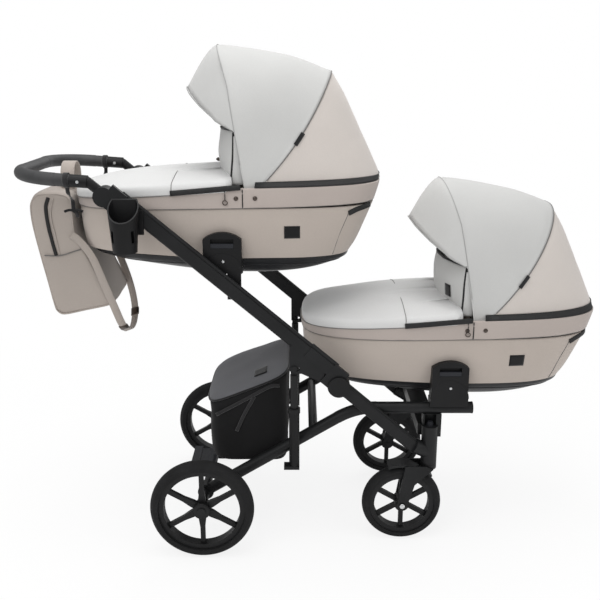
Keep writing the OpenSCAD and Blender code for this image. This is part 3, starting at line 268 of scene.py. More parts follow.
def join(mat, out, into):
    """A link between two sockets."""
    mat.node_tree.links.new(out, into)


def coordinates(mat, stretch=EVEN):
    """Object coordinates, stretched along the axes."""
    place = add(mat, "ShaderNodeTexCoord")
    mapping = add(mat, "ShaderNodeMapping", Scale=stretch)
    join(mat, place.outputs["Object"], mapping.inputs["Vector"])
    return mapping.outputs["Vector"]


TONE_FROM, TONE_TO = 0.3, 0.7


def texture(mat, kind, at, **values):
    """A texture node of that kind at those coordinates."""
    node = add(mat, f"ShaderNodeTex{kind}", **values)
    join(mat, at, node.inputs["Vector"])
    return node


def two_tone(mat, bsdf, factor, low, high):
    """Base colour between low and high, by a factor from TONE_FROM to TONE_TO."""
    ramp = add(mat, "ShaderNodeValToRGB")
    ramp.color_ramp.elements[0].position = TONE_FROM
    ramp.color_ramp.elements[0].color = (*low, 1)
    ramp.color_ramp.elements[1].position = TONE_TO
    ramp.color_ramp.elements[1].color = (*high, 1)
    join(mat, factor, ramp.inputs["Fac"])
    join(mat, ramp.outputs["Color"], bsdf.inputs["Base Color"])


def bump(mat, bsdf, height, strength, distance):
    """Relief by a height output."""
    node = add(mat, "ShaderNodeBump", Strength=strength, Distance=distance)
    join(mat, height, node.inputs["Height"])
    join(mat, node.outputs["Normal"], bsdf.inputs["Normal"])


def math_node(mat, operation, a, b):
    """The result of an operation on two numbers or outputs."""
    node = add(mat, "ShaderNodeMath")
    node.operation = operation
    for socket, value in zip(node.inputs, (a, b)):
        if isinstance(value, (int, float)):
            socket.default_value = value
        else:
            join(mat, value, socket)
    return node.outputs["Value"]


def scaled(color, k):
    """A colour made lighter or darker."""
    return tuple(min(1.0, c * k) for c in color)


YARN_NOISE, WEAVE_WAVE = 1.1, 0.314  # texture scale times thread pitch


def cloth(name, color, fleck=0.1, thread=0.0011, sheen=0.25, roughness=0.92):
    """Woven cloth: flecked yarn, slow colour drift and a raised weave of that thread pitch."""
    mat, bsdf = shader(name, color, roughness, sheen=sheen, specular=0.25)
    at = coordinates(mat)
    yarn = texture(mat, "Noise", at, Scale=YARN_NOISE / thread, Detail=2.0)
    drift = texture(mat, "Noise", at, Scale=7.0, Detail=3.0)
    tone = math_node(mat, "ADD", math_node(mat, "MULTIPLY", yarn.outputs["Fac"], 0.7),
                     math_node(mat, "MULTIPLY", drift.outputs["Fac"], 0.3))
    two_tone(mat, bsdf, tone, scaled(color, 1 - fleck), scaled(color, 1 + fleck))
    weave = None
    for direction in ("X", "Y", "Z"):
        wave = texture(mat, "Wave", at, Scale=WEAVE_WAVE / thread, Distortion=0.6, Detail=1.0)
        wave.bands_direction = direction
        weave = wave.outputs["Fac"] if weave is None else math_node(mat, "ADD", weave, wave.outputs["Fac"])
    bump(mat, bsdf, math_node(mat, "ADD", weave, yarn.outputs["Fac"]), 0.16, 0.0004)
    return mat


def grained(name, color, roughness, specular, tone, tones, grain, relief, metallic=0.0, stretch=EVEN):
    """A drifting tone, between tones times the colour, and a raised grain.

    tone and grain each give a texture's kind and inputs, relief the grain's strength and depth.
    """
    mat, bsdf = shader(name, color, roughness, metallic, specular=specular)
    at = coordinates(mat, stretch)
    drift, raised = (texture(mat, kind, at, **values) for kind, values in (tone, grain))
    two_tone(mat, bsdf, drift.outputs["Fac"], *(scaled(color, k) for k in tones))
    bump(mat, bsdf, raised.outputs["Distance" if grain[0] == "Voronoi" else "Fac"], *relief)
    return mat


def noise_of(scale, detail):
    """A noise texture's kind and inputs."""
    return "Noise", {"Scale": scale, "Detail": detail}


def moulding(name, color, roughness=0.5, grain=900.0, strength=0.12):
    """Moulded plastic or painted metal: fine grain, cloudy tone, and paler edges and darker hollows from the
    mesh's pointiness, which are painted highlight and painted shade.
    """
    mat, bsdf = shader(name, color, roughness, specular=0.24)
    at = coordinates(mat)
    fine = texture(mat, "Noise", at, Scale=grain, Detail=2.0)
    cloud = texture(mat, "Noise", at, Scale=14.0, Detail=4.0)
    edge = add(mat, "ShaderNodeNewGeometry")
    # Pointiness lightens convex edges and darkens hollows: painted highlight and painted shade.
    painted_edge_light_and_shade = math_node(mat, "MULTIPLY", math_node(mat, "SUBTRACT", edge.outputs["Pointiness"], 0.5), 1.2)
    tone = math_node(mat, "ADD", cloud.outputs["Fac"], painted_edge_light_and_shade)
    two_tone(mat, bsdf, tone, scaled(color, 0.8), scaled(color, 1.25))
    bump(mat, bsdf, fine.outputs["Fac"], strength, 0.0003)
    return mat


# Pebbled cover with rubbed tone, dusty pitted tyre, fine-lined bright metal, and zip tape with a rib for its teeth
PEBBLES, TEETH = ("Voronoi", {"Scale": 520.0}), ("Wave", {"Scale": 120.0, "Distortion": 0.0})
LINES = noise_of(300.0, 2.0)
LEATHERETTE = (0.55, 0.4, noise_of(26.0, 4.0), (0.82, 1.2), PEBBLES, (0.35, 0.0005))
RUBBER = (0.82, 0.3, noise_of(20.0, 5.0), (0.75, 1.4), noise_of(420.0, 3.0), (0.25, 0.0004))
BRUSHED = (0.28, 0.5, LINES, (0.88, 1.08), LINES, (0.08, 0.0002), 1.0, (1, 12, 1))
ZIP_TAPE = (0.6, 0.4, LINES, (0.7, 1.5), TEETH, (0.3, 0.0006))

MATERIALS = {
    "frame_dark": moulding("charcoal_paint", (0.0095, 0.0098, 0.0105), 0.44, 1400.0, 0.08),
    "frame_steel": moulding("black_paint", (0.0085, 0.0088, 0.0092), 0.42, 1400.0, 0.08),
    "black_plastic": moulding("black_moulding", (0.0055, 0.0055, 0.006), 0.46, 900.0, 0.15),
    "button_plastic": moulding("grey_moulding", (0.017, 0.018, 0.022), 0.48, 900.0, 0.12),
    "rim_plastic": moulding("wheel_moulding", (0.0085, 0.0085, 0.009), 0.45, 1000.0, 0.10),
    "tray_plastic": moulding("tray_moulding", (0.015, 0.0155, 0.017), 0.34, 800.0, 0.10),
    "grip_leather": grained("handle_leatherette", (0.040, 0.0405, 0.042), *LEATHERETTE),
    "rivet_metal": grained("bright_metal", (0.72, 0.73, 0.74), *BRUSHED),
    "tyre": grained("tyre_rubber", (0.0085, 0.0085, 0.009), *RUBBER),
    "basket_cloth": cloth("black_cloth", (0.0075, 0.0073, 0.0078), 0.25, 0.0016, 0.05),
    "lid_cloth": cloth("dark_grey_cloth", (0.138, 0.140, 0.150), 0.14, 0.0012, 0.1),
    "taupe_cloth": cloth("taupe_cloth", (0.478, 0.421, 0.377), 0.09),
    "rim_cloth": cloth("beige_band_cloth", (0.452, 0.396, 0.364), 0.08),
    "grey_cloth": cloth("light_grey_cloth", (0.545, 0.545, 0.535), 0.07),
    "beige_cloth": cloth("beige_cloth", (0.625, 0.577, 0.540), 0.08),
    "mattress_cloth": cloth("white_cloth", (0.80, 0.79, 0.76), 0.05),
}
# Apron and hood are one grey cloth: the apron's lighter copy is painted light on its top, and grey_cloth is set
# darker as painted shade on the hood's sides.
APRON_LIT_CLOTH = cloth("grey_cloth_painted_top_light", (0.655, 0.655, 0.650), 0.06)
BAG_CLOTH = cloth("bag_cloth", (0.405, 0.358, 0.322), 0.09)
PIPING = cloth("dark_piping", (0.016, 0.016, 0.017), 0.2, 0.0008)
SEAM = cloth("grey_seam", (0.16, 0.155, 0.15), 0.2, 0.0006)
PALE_SEAM = cloth("pale_seam", (0.36, 0.36, 0.355), 0.15, 0.0006)
TAPE = cloth("black_tape", (0.020, 0.0195, 0.0205), 0.2, 0.0008)
ZIP = grained("black_zip", (0.010, 0.010, 0.0105), *ZIP_TAPE)
SNAP = grained("dark_snap", (0.10, 0.082, 0.072), *BRUSHED)
PATCH = cloth("black_patch", (0.0065, 0.0065, 0.007), 0.3, 0.0008)


# Mesh helpers


def piece(name, points, faces, mat, smooth=True):
    """A new mesh object in the frame's coordinates; mat is a material or a record slot's name."""
    mesh = bpy.data.meshes.new(name)
    mesh.from_pydata([tuple(p) for p in points], [], faces)
    mesh.validate()
    mesh.materials.append(MATERIALS[mat] if isinstance(mat, str) else mat)
    mesh.polygons.foreach_set("use_smooth", [smooth] * len(mesh.polygons))
    mesh.update()
    obj = bpy.data.objects.new(name, mesh)
    scene.collection.objects.link(obj)
    return obj


def grid(name, rows, mat, around=False, ends=False):
    """A quad mesh over rows of points. around closes each row; ends caps the first and last row."""
    rows = np.asarray(rows, float)
    m, n = rows.shape[:2]
    last = n if around else n - 1
    faces = [(j * n + i, j * n + (i + 1) % n, (j + 1) * n + (i + 1) % n, (j + 1) * n + i)
             for j in range(m - 1) for i in range(last)]
    points = list(rows.reshape(-1, 3))
    if ends:
        for row, flip in ((0, True), (m - 1, False)):
            points.append(rows[row].mean(0))
            for i in range(n):
                a, b = row * n + i, row * n + (i + 1) % n
                faces.append((len(points) - 1, b, a) if flip else (len(points) - 1, a, b))
    return piece(name, points, faces, mat)


def spline(points, count):
    """count points on a smooth curve through points (Catmull-Rom)."""
    p = np.asarray(points, float)
    p = np.vstack([2 * p[0] - p[1], p, 2 * p[-1] - p[-2]])
    u = np.linspace(0, len(p) - 3, count)
    k = np.minimum(u.astype(int), len(p) - 4)
    f = (u - k)[:, None]
    a, b, c, d = p[k], p[k + 1], p[k + 2], p[k + 3]
    return 0.5 * (2 * b + (c - a) * f + (2 * a - 5 * b + 4 * c - d) * f**2 + (3 * b - a - 3 * c + d) * f**3)


def closed(path):
    """The path with its first point repeated at its end."""
    return np.vstack([path, path[:1]])


def is_loop(path):
    """Whether a path ends where it starts."""
    return np.allclose(path[0], path[-1])


def sweep(name, path, up, section, mat):
    """A bar of that section along a path, its y steered by up, with closed ends unless the path is a loop."""
    path = np.asarray(path, float)
    t = np.gradient(path, axis=0)
    if is_loop(path):
        t[0] = t[-1] = path[1] - path[-2]
    t /= np.linalg.norm(t, axis=1)[:, None]
    side = np.cross(t, np.broadcast_to(np.asarray(up, float), path.shape))
    side /= np.maximum(np.linalg.norm(side, axis=1), 1e-9)[:, None]
    rows = [[p + a * x + b * y for x, y in section] for p, a, b in zip(path, side, np.cross(side, t))]
    return grid(name, rows, mat, around=True, ends=not is_loop(path))


def tube(name, path, radius, mat, sides=8, up=(0.02, 0.03, 1)):
    """A round bar along a path."""
    angles = np.linspace(2 * math.pi, 0, sides, endpoint=False)
    return sweep(name, path, up, radius * np.stack([np.cos(angles), np.sin(angles)], 1), mat)


def strap(name, path, normal, width, thick, mat):
    """A flat strap along a path, its face towards normal, with rounded edges."""
    w, h = width / 2, thick / 2
    section = [(-w, 0), (-w + h, h), (w - h, h), (w, 0), (w - h, -h), (-w + h, -h)]
    return sweep(name, path, normal, section, mat)


def basis(normal):
    """A unit normal and two unit directions across it."""
    normal = Vector(normal).normalized()
    side = normal.orthogonal().normalized()
    return normal, side, normal.cross(side)


def button(name, at, normal, radius, height, mat):
    """A turned stud: a low dome with a rolled edge, standing on a surface."""
    normal, side, other = basis(normal)
    profile = [(1.0, 0), (1.02, 0.3), (0.92, 0.62), (0.78, 0.6), (0.62, 0.72), (0.35, 0.95), (0.04, 1.0)]
    angles = np.linspace(0, 2 * math.pi, 20, endpoint=False)
    rows = [[Vector(at) + (side * math.cos(a) + other * math.sin(a)) * r * radius + normal * h * height
             for a in angles] for r, h in profile]
    return grid(name, rows, mat, around=True, ends=True)


def loop_ring(name, at, axis, radius, wire, mat):
    """A wire ring."""
    axis, side, other = basis(axis)
    angles = np.linspace(0, 2 * math.pi, 25)
    path = [Vector(at) + (side * math.cos(a) + other * math.sin(a)) * radius for a in angles]
    return tube(name, path, wire, mat, 8, axis)


def thicken(obj, depth):
    """A wall of that depth behind the surface."""
    mod = obj.modifiers.new("wall", "SOLIDIFY")
    mod.thickness, mod.offset = depth, -1.0
    return obj


def normals_of(rows, around=False):
    """Unit normals of a grid of points."""
    if around:
        wide = np.concatenate([rows[:, -1:], rows, rows[:, :1]], axis=1)
        across = np.gradient(wide, axis=1)[:, 1:-1]
    else:
        across = np.gradient(rows, axis=1)
    n = np.cross(across, np.gradient(rows, axis=0))
    return n / np.maximum(np.linalg.norm(n, axis=2), 1e-12)[..., None]


def soften(rows, kind, seed, around=False):
    """The rows with slow, shallow waves in them, as that kind of cloth has."""
    depth, scale, step, stretch = WAVES[kind]
    start = Vector((seed + step, (seed + step) * 0.7, 0))
    stretch = np.array(stretch)
    lift = np.array([[noise.noise(Vector(p * scale * stretch) + start) for p in row] for row in rows])
    return rows + normals_of(rows, around) * lift[..., None] * depth


def dress(obj, body, slot, *stands_for):
    """obj rides on a body and stands for CAD nodes, which it hides; slot is not used."""
    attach(obj, body)
    if stands_for:
        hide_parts(*stands_for)
    return obj


# Cot surfaces, in the cot's own frame


def power(c, n):
    """A superellipse's coordinate for a cosine or sine."""
    return np.sign(c) * np.abs(c) ** (2 / n)


def level(row, tail, head, count=128):
    """The ring of points at one level of the cot."""
    a = np.linspace(0, 2 * math.pi, count, endpoint=False)
    c, s = np.cos(a), np.sin(a)
    n = np.where(c < 0, TAIL_POWER, HEAD_POWER)
    xa, xb = row[1] * COT_L, row[2] * COT_L
    x = (xa + xb) / 2 + (xb - xa) / 2 * power(c, n)
    return np.stack([x, row[3] * COT_W * power(s, n), row[0] * COT_H + np.where(x < 0, tail, head) * x], 1)


def wall_point(x, share, out):
    """The right-side point of the cot's wall at x and a height share; out stands it off the wall."""
    table = SIDE_OUT + RIM_OUT
    z = [r[0] for r in table]
    tail, head, half = (np.interp(share, z, [r[k] for r in table]) for k in (1, 2, 3))
    slope = np.interp(share, z, SIDE_TAIL + RIM_TAIL)
    mid, reach = (tail + head) / 2 * COT_L, (head - tail) / 2 * COT_L
    c = abs(x - mid) / reach
    n = TAIL_POWER if x < mid else HEAD_POWER
    y = half * COT_W * (1 - min(c, 0.999) ** n) ** (1 / n)
    in_rim = max(0.0, min(1.0, (share - SIDE_OUT[-1][0]) / RIM_TALL))
    return np.array([x, -(y + out), share * COT_H + (slope if x < 0 else RIM_HEAD * in_rim) * x])


def wall_line(points, out, s):
    """Points on the wall, given as x and height share, on side s."""
    return np.array([wall_point(x, z, out) for x, z in points]) * (1, -s, 1)


def swept(angle, turns):
    """The angle of a hood arch at each turn: the rear seam lags towards its feet, the bow leads at its top."""
    foot = np.abs(90 - np.asarray(turns, float)) / 90
    back = np.interp(angle, (REAR_ANGLES[-1], HOOD_ANGLES[-1], HOOD_ANGLES[0]), (0, 1, 0))
    fore = np.interp(angle, (HOOD_ANGLES[-1], HOOD_ANGLES[0]), (0, 1))
    return (angle - back * (SEAM_BACK[0] + SEAM_BACK[1] * foot**2)
            + fore * BOW_FORE * np.maximum(0, 1 - (foot / BOW_SPAN) ** 2))


def arch(angle, radius, width, turns):
    """Points of a hood arch at that angle over the pivots."""
    d = radius * np.sin(np.radians(turns)) ** (2 / HOOD_POWER)
    a = np.radians(swept(angle, turns))
    return np.stack([PIVOT_X + d * np.cos(a), width * power(np.cos(np.radians(turns)), HOOD_POWER),
                     PIVOT_Z + d * np.sin(a)], 1)


def visor_row(reach, turns):
    """A row of the visor: reach 0 lies on the bow, reach 1 is the free edge."""
    rows = arch(HOOD_ANGLES[0] + VISOR_GAP, HOOD_H, HOOD_W, turns)
    steps = range(len(VISOR))
    k = (90 - np.abs(90 - turns) - VISOR_TURN) / (90 - VISOR_TURN) * steps[-1]
    forward = np.where(k > 0, np.interp(k, steps, VISOR), 0)
    drop = np.where(k > 0, np.interp(k, steps, VISOR_DROP), 0)
    lead = swept(HOOD_ANGLES[0], turns) - HOOD_ANGLES[0]
    rows[:, 0] -= np.maximum(0, forward - np.radians(lead) * VISOR_LEAD) * HOOD_H * reach ** VISOR_EASE[0]
    rows[:, 2] -= drop * HOOD_H * reach ** VISOR_EASE[1]
    return rows


def rear_surface(turns, angles):
    """Rows of the rear hood panel at those angles."""
    shares = spline(np.array([REAR_ANGLES, REAR_SHARES]).T, 80)
    radii = HOOD_H * np.interp(-np.asarray(angles), -shares[:, 0], shares[:, 1])
    return np.array([arch(a, r, HOOD_W, turns) for a, r in zip(angles, radii)])


def flap_front(y):
    """The collar flap's front, in plan."""
    return FLAP_MID + FLAP_BOW * np.minimum(1, np.abs(y) / FLAP_HALF) ** 2


def flap_point(u, v):
    """The collar flap's front face: u from -1 to 1 across, v from 0 at its foot to 1 at its top edge."""
    z = FLAP_LOW + (FLAP_HIGH - FLAP_LOW) * v
    puff = FLAP_PUFF * math.sin(math.pi * min(1, max(0, 1.25 * v - 0.25))) * (1 - abs(u) ** 6)
    x = flap_front(u * FLAP_HALF) + FLAP_BACK * u * u * (z - FLAP_LOW) - puff
    return x, u * FLAP_HALF, z


def apron_ring(share, height, count=APRON_COUNT):
    """The rim's outline behind its middle, shrunk by a share and closed along the collar flap."""
    _, tail, head, half = RIM_OUT[2]
    ring = level((0, tail, head, half), 0, 0, 2 * count)[count // 2:count // 2 + count + 1]
    mid = (tail * COT_L + FLAP_MID) / 2
    edge = half * COT_W * share * np.linspace(-1, 1, count // 2 + 1)[1:-1]
    x = np.r_[mid + (ring[:, 0] - mid) * share, flap_front(edge) + FLAP_GAP]
    y = np.r_[ring[:, 1] * share, edge]
    return np.stack([x, y, (RIM_OUT[3][0] + height) * COT_H + RIM_TAIL[3] * x], 1)


def cover_line(rings, x):
    """A line across the apron's top at one x, from side to side."""
    top = []
    for ring in rings[APRON_TOP_RINGS:]:
        for half in (1, -1):
            part = ring[(ring[:, 1] * half > 0) & (ring[:, 0] < FLAP_MID - APRON_SEAM_CLEAR)]
            part = part[np.argsort(part[:, 0])]
            if len(part) > 2 and part[0, 0] < x < part[-1, 0]:
                y, z = (np.interp(x, part[:, 0], part[:, k]) for k in (1, 2))
                top.append([x, y, z + APRON_SEAM_OUT])
    return spline(np.array(sorted(top, key=lambda p: p[1])), 60)


def edge_point(x, s):
    """A point of the zip beside the apron's lower edge, over the rim, on side s."""
    y = wall_point(x, RIM_OUT[2][0], APRON_ZIP_OUT)[1] * -s
    rise = APRON_ZIP_RISE[0] + APRON_ZIP_RISE[1] * x
    return np.array([x, y, RIM_TOP + RIM_TAIL[3] * x + rise])


# Cots


def cloth_band(out, tails, inner, inner_tails, head, count, kind, seed):
    """Rings round the cot: the softened outside, then the inside, whose tails are places in tails, closed."""
    table = spline(np.hstack([out, np.array(tails)[:, None]]), count)
    rings = soften(np.array([level(r[:4], r[4], head, RING) for r in table]), kind, seed, True)
    inside = np.array([level(r, tails[k], head, RING) for r, k in zip(inner, inner_tails)])
    return np.concatenate([rings, inside, rings[:1]])


def build_cot(which):
    """One carrycot with its trim, apron, flap and hood."""
    at = np.array([COTS[which][0], 0, COTS[which][1]])
    body = f"{which}_cot"
    seed = COT_SEED[which]

    def named(what):
        return f"{which}_{what}_look"

    # Moulded tray with a raised crease line
    rings = [level(r, TRAY_TAIL * r[0] / TRAY_OUT[-1][0], 0) for r in list(spline(TRAY_OUT, 26)) + TRAY_IN]
    dress(grid(named("tray"), np.array(rings) + at, "tray_plastic", True, True),
          body, "tray_plastic", f"{which}_tray")
    crease = closed(level(TRAY_CREASE, CREASE_TAIL, 0))
    dress(tube(named("tray_crease"), crease + at, HEM_R, "tray_plastic"), body, "tray_plastic")

    # Cloth sides, drawn tight over the tray
    rings = cloth_band(SIDE_OUT, SIDE_TAIL, SIDE_IN, (3, 1, 0), 0, 30, "sides", seed)
    dress(grid(named("sides"), rings + at, "taupe_cloth", True), body, "taupe_cloth", f"{which}_sides")

    # Rim band, softly padded
    rings = cloth_band(RIM_OUT, RIM_TAIL, RIM_IN, (3, 0), RIM_HEAD, 18, "rim", seed)
    dress(grid(named("rim"), rings + at, "rim_cloth", True), body, "rim_cloth", f"{which}_rim")
    edge = closed(level(RIM_SEAM, RIM_TAIL[0], RIM_HEAD, RING))
    dress(tube(named("rim_seam"), edge + at, SEAM_R, SEAM, 6), body, "rim_cloth")
    build_rim_trim(which, at, body, named)
    build_side_trim(at, body, named)

    # Mattress
    rings = [level(r, PAD_TAIL * r[0] / PAD[2][0], 0) for r in spline(PAD, 20)]
    pad = dress(grid(named("mattress"), np.array(rings) + at, "mattress_cloth", True, True),
                body, "mattress_cloth", f"{which}_mattress")

    # Apron: one padded cover, crowned, with a cross seam and a zip along its edge
    rings = np.array([apron_ring(s, h) for s, h in spline(APRON, 40)])
    rings = soften(rings, "apron", seed, True)
    rings[0, :, 2] = apron_ring(*APRON[0])[:, 2]
    apron = dress(grid(named("apron"), rings + at, APRON_LIT_CLOTH, True, True),
                  body, "grey_cloth", f"{which}_apron")
    foot = apron_ring(*APRON_EDGE)[:APRON_COUNT + 1]
    dress(tube(named("apron_edge"), foot + at, EDGE_R, SEAM, 6), body, "grey_cloth")
    seam = cover_line(rings, APRON_SEAM_X)
    dress(tube(named("apron_seam"), seam + at, SEAM_R, SEAM, 6), body, "grey_cloth")
    for s, tag in SIDES:
        edge = np.array([edge_point(x, s) for x in np.linspace(*APRON_ZIP_X, 30)])
        dress(strap(named(f"apron_zip_{tag}"), edge + at, (0, s, 0.15), *APRON_ZIP, ZIP), body, "black_plastic")

    build_flap(which, at, body, named, seed)
    build_hood(which, at, body, named, seed)


def build_rim_trim(which, at, body, named):
    """On each side of the rim: the split between apron and hood, drawn as a black line that paints the shade in
    its groove, two snaps and a zip's pull ring.
    """
    for s, tag in SIDES:
        split = wall_line([(SPLIT_X, z) for z in np.linspace(*SPLIT_SHARES, 8)], SPLIT_OUT, s)
        # A black tube along the split: painted shade in the groove.
        dress(tube(named(f"rim_split_{tag}"), split + at, HEM_R, PIPING, 6), body, "rim_cloth")
        for i, p in enumerate(wall_line([(x, SNAP_SHARE) for x in SNAP_X], 0.0, s)):
            dress(button(named(f"snap_{tag}_{i}"), p + at, (0, s, 0), *SNAP_SIZE, SNAP), body, "rivet_metal")
        p = wall_line([(PULL_X[which], PULL_SHARE)], PULL_OUT, s)[0]
        dress(loop_ring(named(f"pull_ring_{tag}"), p + at, (0.1, -s, 0.2), *PULL_SIZE, SNAP), body, "rivet_metal")
        cord = wall_line([(PULL_X[which], z) for z in np.linspace(*PULL_TAB_SHARES, 6)], PULL_TAB_OUT, s)
        dress(tube(named(f"pull_tab_{tag}"), cord + at, EDGE_R, PIPING, 6), body, "black_plastic")


def build_side_trim(at, body, named):
    """On each side of the cot: the plain patch, the vent's zip and a dart seam."""
    for s, tag in SIDES:
        rows = [wall_line([(x, z) for x in np.linspace(*PATCH_X, 9)], PATCH_OUT, s) + at
                for z in np.linspace(*PATCH_SHARES, 7)]
        dress(thicken(grid(named(f"patch_{tag}"), rows[::-s], PATCH), PATCH_WALL), body, "black_plastic")
        vent = wall_line(spline(VENT, 18), VENT_OUT, s)
        dress(strap(named(f"vent_zip_{tag}"), vent + at, (0.5, s, 0), *VENT_ZIP, ZIP), body, "black_plastic")
        dart = wall_line(spline(DART, 24), DART_OUT, s)
        dress(tube(named(f"dart_{tag}"), dart + at, SEAM_R, SEAM, 6), body, "taupe_cloth")


def sewn(rows):
    """Turns a panel's rows into an array and does nothing more."""
    rows = np.asarray(rows)


def build_flap(which, at, body, named, seed):
    """The upright collar flap that closes the apron towards the hood, padded and piped in black."""
    us, vs = np.linspace(-1, 1, 65), np.linspace(0, 1, 21)
    rows = soften(np.array([[flap_point(u, v) for v in vs] for u in us]), "flap", seed)
    flap = grid(named("flap"), rows + at, "grey_cloth")
    thicken(flap, FLAP_WALL)
    dress(flap, body, "grey_cloth")
    sewn(rows)
    hem = np.vstack([rows[0, 1:], rows[1:-1, -1], rows[-1, 1:][::-1]])
    dress(tube(named("flap_piping"), hem + at + FLAP_PIPING_SHIFT, FLAP_PIPING_R, PIPING), body, "black_plastic")

    # A soft gusset on each side, from the flap to the bow
    steps = np.linspace(0, 1, 7)
    for s, tag in SIDES:
        near = rows[0 if s < 0 else -1, 1:-2]
        bow = arch(HOOD_ANGLES[0] - GUSSET_BACK, HOOD_H, HOOD_W - GUSSET_INSET[0],
                   np.linspace(*GUSSET_TURNS, len(near)))
        side = s * (HOOD_W - GUSSET_INSET[1])
        rear = np.array([(np.interp(z, bow[:, 2], bow[:, 0]), side, z) for z in near[:, 2]])
        fold = np.sin(math.pi * steps)[:, None, None] * np.array([0, s * GUSSET_FOLD, 0])
        near_rows = (np.array([near + (rear - near) * f for f in steps]) + fold)[::s]
        gusset = grid(named(f"flap_gusset_{tag}"), near_rows + at, "grey_cloth")
        thicken(gusset, GUSSET_WALL)
        bend(gusset)
        sewn(near_rows)

    if which == "upper":
        stud = button(named("flap_stud"), np.array(FLAP_STUD) + at, (-1, 0, 0), *FLAP_STUD_SIZE, SNAP)
        dress(stud, body, "rivet_metal")
    if which == "lower":
        rows = [[flap_point(u, v) for v in np.linspace(*FLAP_PATCH_V, 5)] for u in np.linspace(*FLAP_PATCH_U, 5)]
        patch = grid(named("flap_patch"), np.array(rows) - (FLAP_PATCH_OUT, 0, 0) + at, PATCH)
        dress(thicken(patch, STIFF_PATCH_WALL), body, "black_plastic")


def held(rows, kind, seed, first, last):
    """The rows softened, with less of it in the rows that first (place, shares) and last (shares) name."""
    hold = np.ones(len(rows))
    start, shares = first
    hold[start:start + len(shares)] = shares
    hold[-len(last):] = last
    return rows + (soften(rows, kind, seed) - rows) * hold[:, None, None]


def build_hood(which, at, body, named, seed):
    """Visor and front panel are one cloth on the bow, the rear panel another on the cot."""
    hood = f"{which}_hood"
    steps = np.linspace(0, 1, 97)
    eased = HOOD_EASE * np.cos(math.pi * steps) + (1 - HOOD_EASE) * (1 - 2 * steps)
    turns = HOOD_FOOT + (180 - 2 * HOOD_FOOT) * (0.5 - 0.5 * eased)
    shares = spline(np.array([HOOD_ANGLES, HOOD_SHARES]).T, 40)
    front = [visor_row(r, turns) for r in np.linspace(1, 0, VISOR_ROWS)]
    front += [arch(a, HOOD_H * s, HOOD_W, turns) for a, s in shares]
    front = held(np.array(front), "hood_front", seed, (VISOR_ROWS - 1, (0.25, 0.25, 0.25)), (0.6, 0.3, 0.0))
    weights = [1.0] * VISOR_ROWS
    weights += [(a - HOOD_ANGLES[-1]) / (HOOD_ANGLES[0] - HOOD_ANGLES[-1]) for a, _ in shares]
    panel = grid(named("hood_front"), front + at, "grey_cloth")
    thicken(panel, HOOD_WALL)
    bend(panel)
    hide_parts(f"{which}_hood_front", f"{which}_visor")
    sewn(front)

    bow = arch(BOW_ANGLE, HOOD_H * BOW_SHARE, HOOD_W - BOW_INSET, np.linspace(*BOW_TURNS))
    dress(tube(named("bow"), bow + at, BOW_R, "frame_steel"), hood, "frame_steel")
    for s, tag in SIDES:
        boss = spline([(PIVOT_X, s * (HOOD_W - inset), PIVOT_Z) for inset in BOSS_INSET], 4)
        dress(tube(named(f"bow_boss_{tag}"), boss + at, BOSS_R, "black_plastic", 24, (0, 0, 1)),
              hood, "black_plastic")
    seam = arch(BOW_SEAM_ANGLE, HOOD_H + BOW_SEAM_OUT, HOOD_W + BOW_SEAM_OUT, np.linspace(*BOW_SEAM_TURNS))
    dress(tube(named("bow_seam"), seam + at, SEAM_R, PALE_SEAM, 6), hood, "grey_cloth")
    hem = visor_row(1.0, np.linspace(VISOR_TURN, 180 - VISOR_TURN, 80))
    dress(tube(named("visor_hem"), hem + at - HEM_SHIFT, HEM_R, PALE_SEAM, 8), hood, "grey_cloth")

    angles = np.concatenate([np.linspace(*part) for part in REAR_ROWS])
    rear = rear_surface(REAR_FOOT + (180 - 2 * REAR_FOOT) * steps, angles)
    rear = held(rear, "hood_rear", seed, (0, (0.0, 0.3, 0.6)), (0.2, 0.2, 0.2))
    panel = grid(named("hood_rear"), rear + at, "beige_cloth")
    thicken(panel, HOOD_WALL)
    dress(panel, body, "beige_cloth", f"{which}_hood_rear")
    sewn(rear)

    def on_seam(out, first, last, count):
        return arch(REAR_SEAM_ANGLE, HOOD_H * REAR_SEAM_SHARE + out, HOOD_W + out, np.linspace(first, last, count))

    seam = on_seam(REAR_SEAM_OUT, *REAR_SEAM_TURNS)
    dress(tube(named("rear_seam"), seam + at, EDGE_R, SEAM, 6), body, "grey_cloth")
    foot = TAB_FOOT[which]
    for s, tag in SIDES:
        ends = [180 - t if s < 0 else t for t in (foot + TAB_LONG, foot)]
        tab = on_seam(TAB_OUT, *ends, 8)
        dress(strap(named(f"seam_tab_{tag}"), tab + at, (0.5, s, 0.3), *SEAM_TAB, PIPING), body, "black_plastic")
    build_rear_zip(at, body, named)


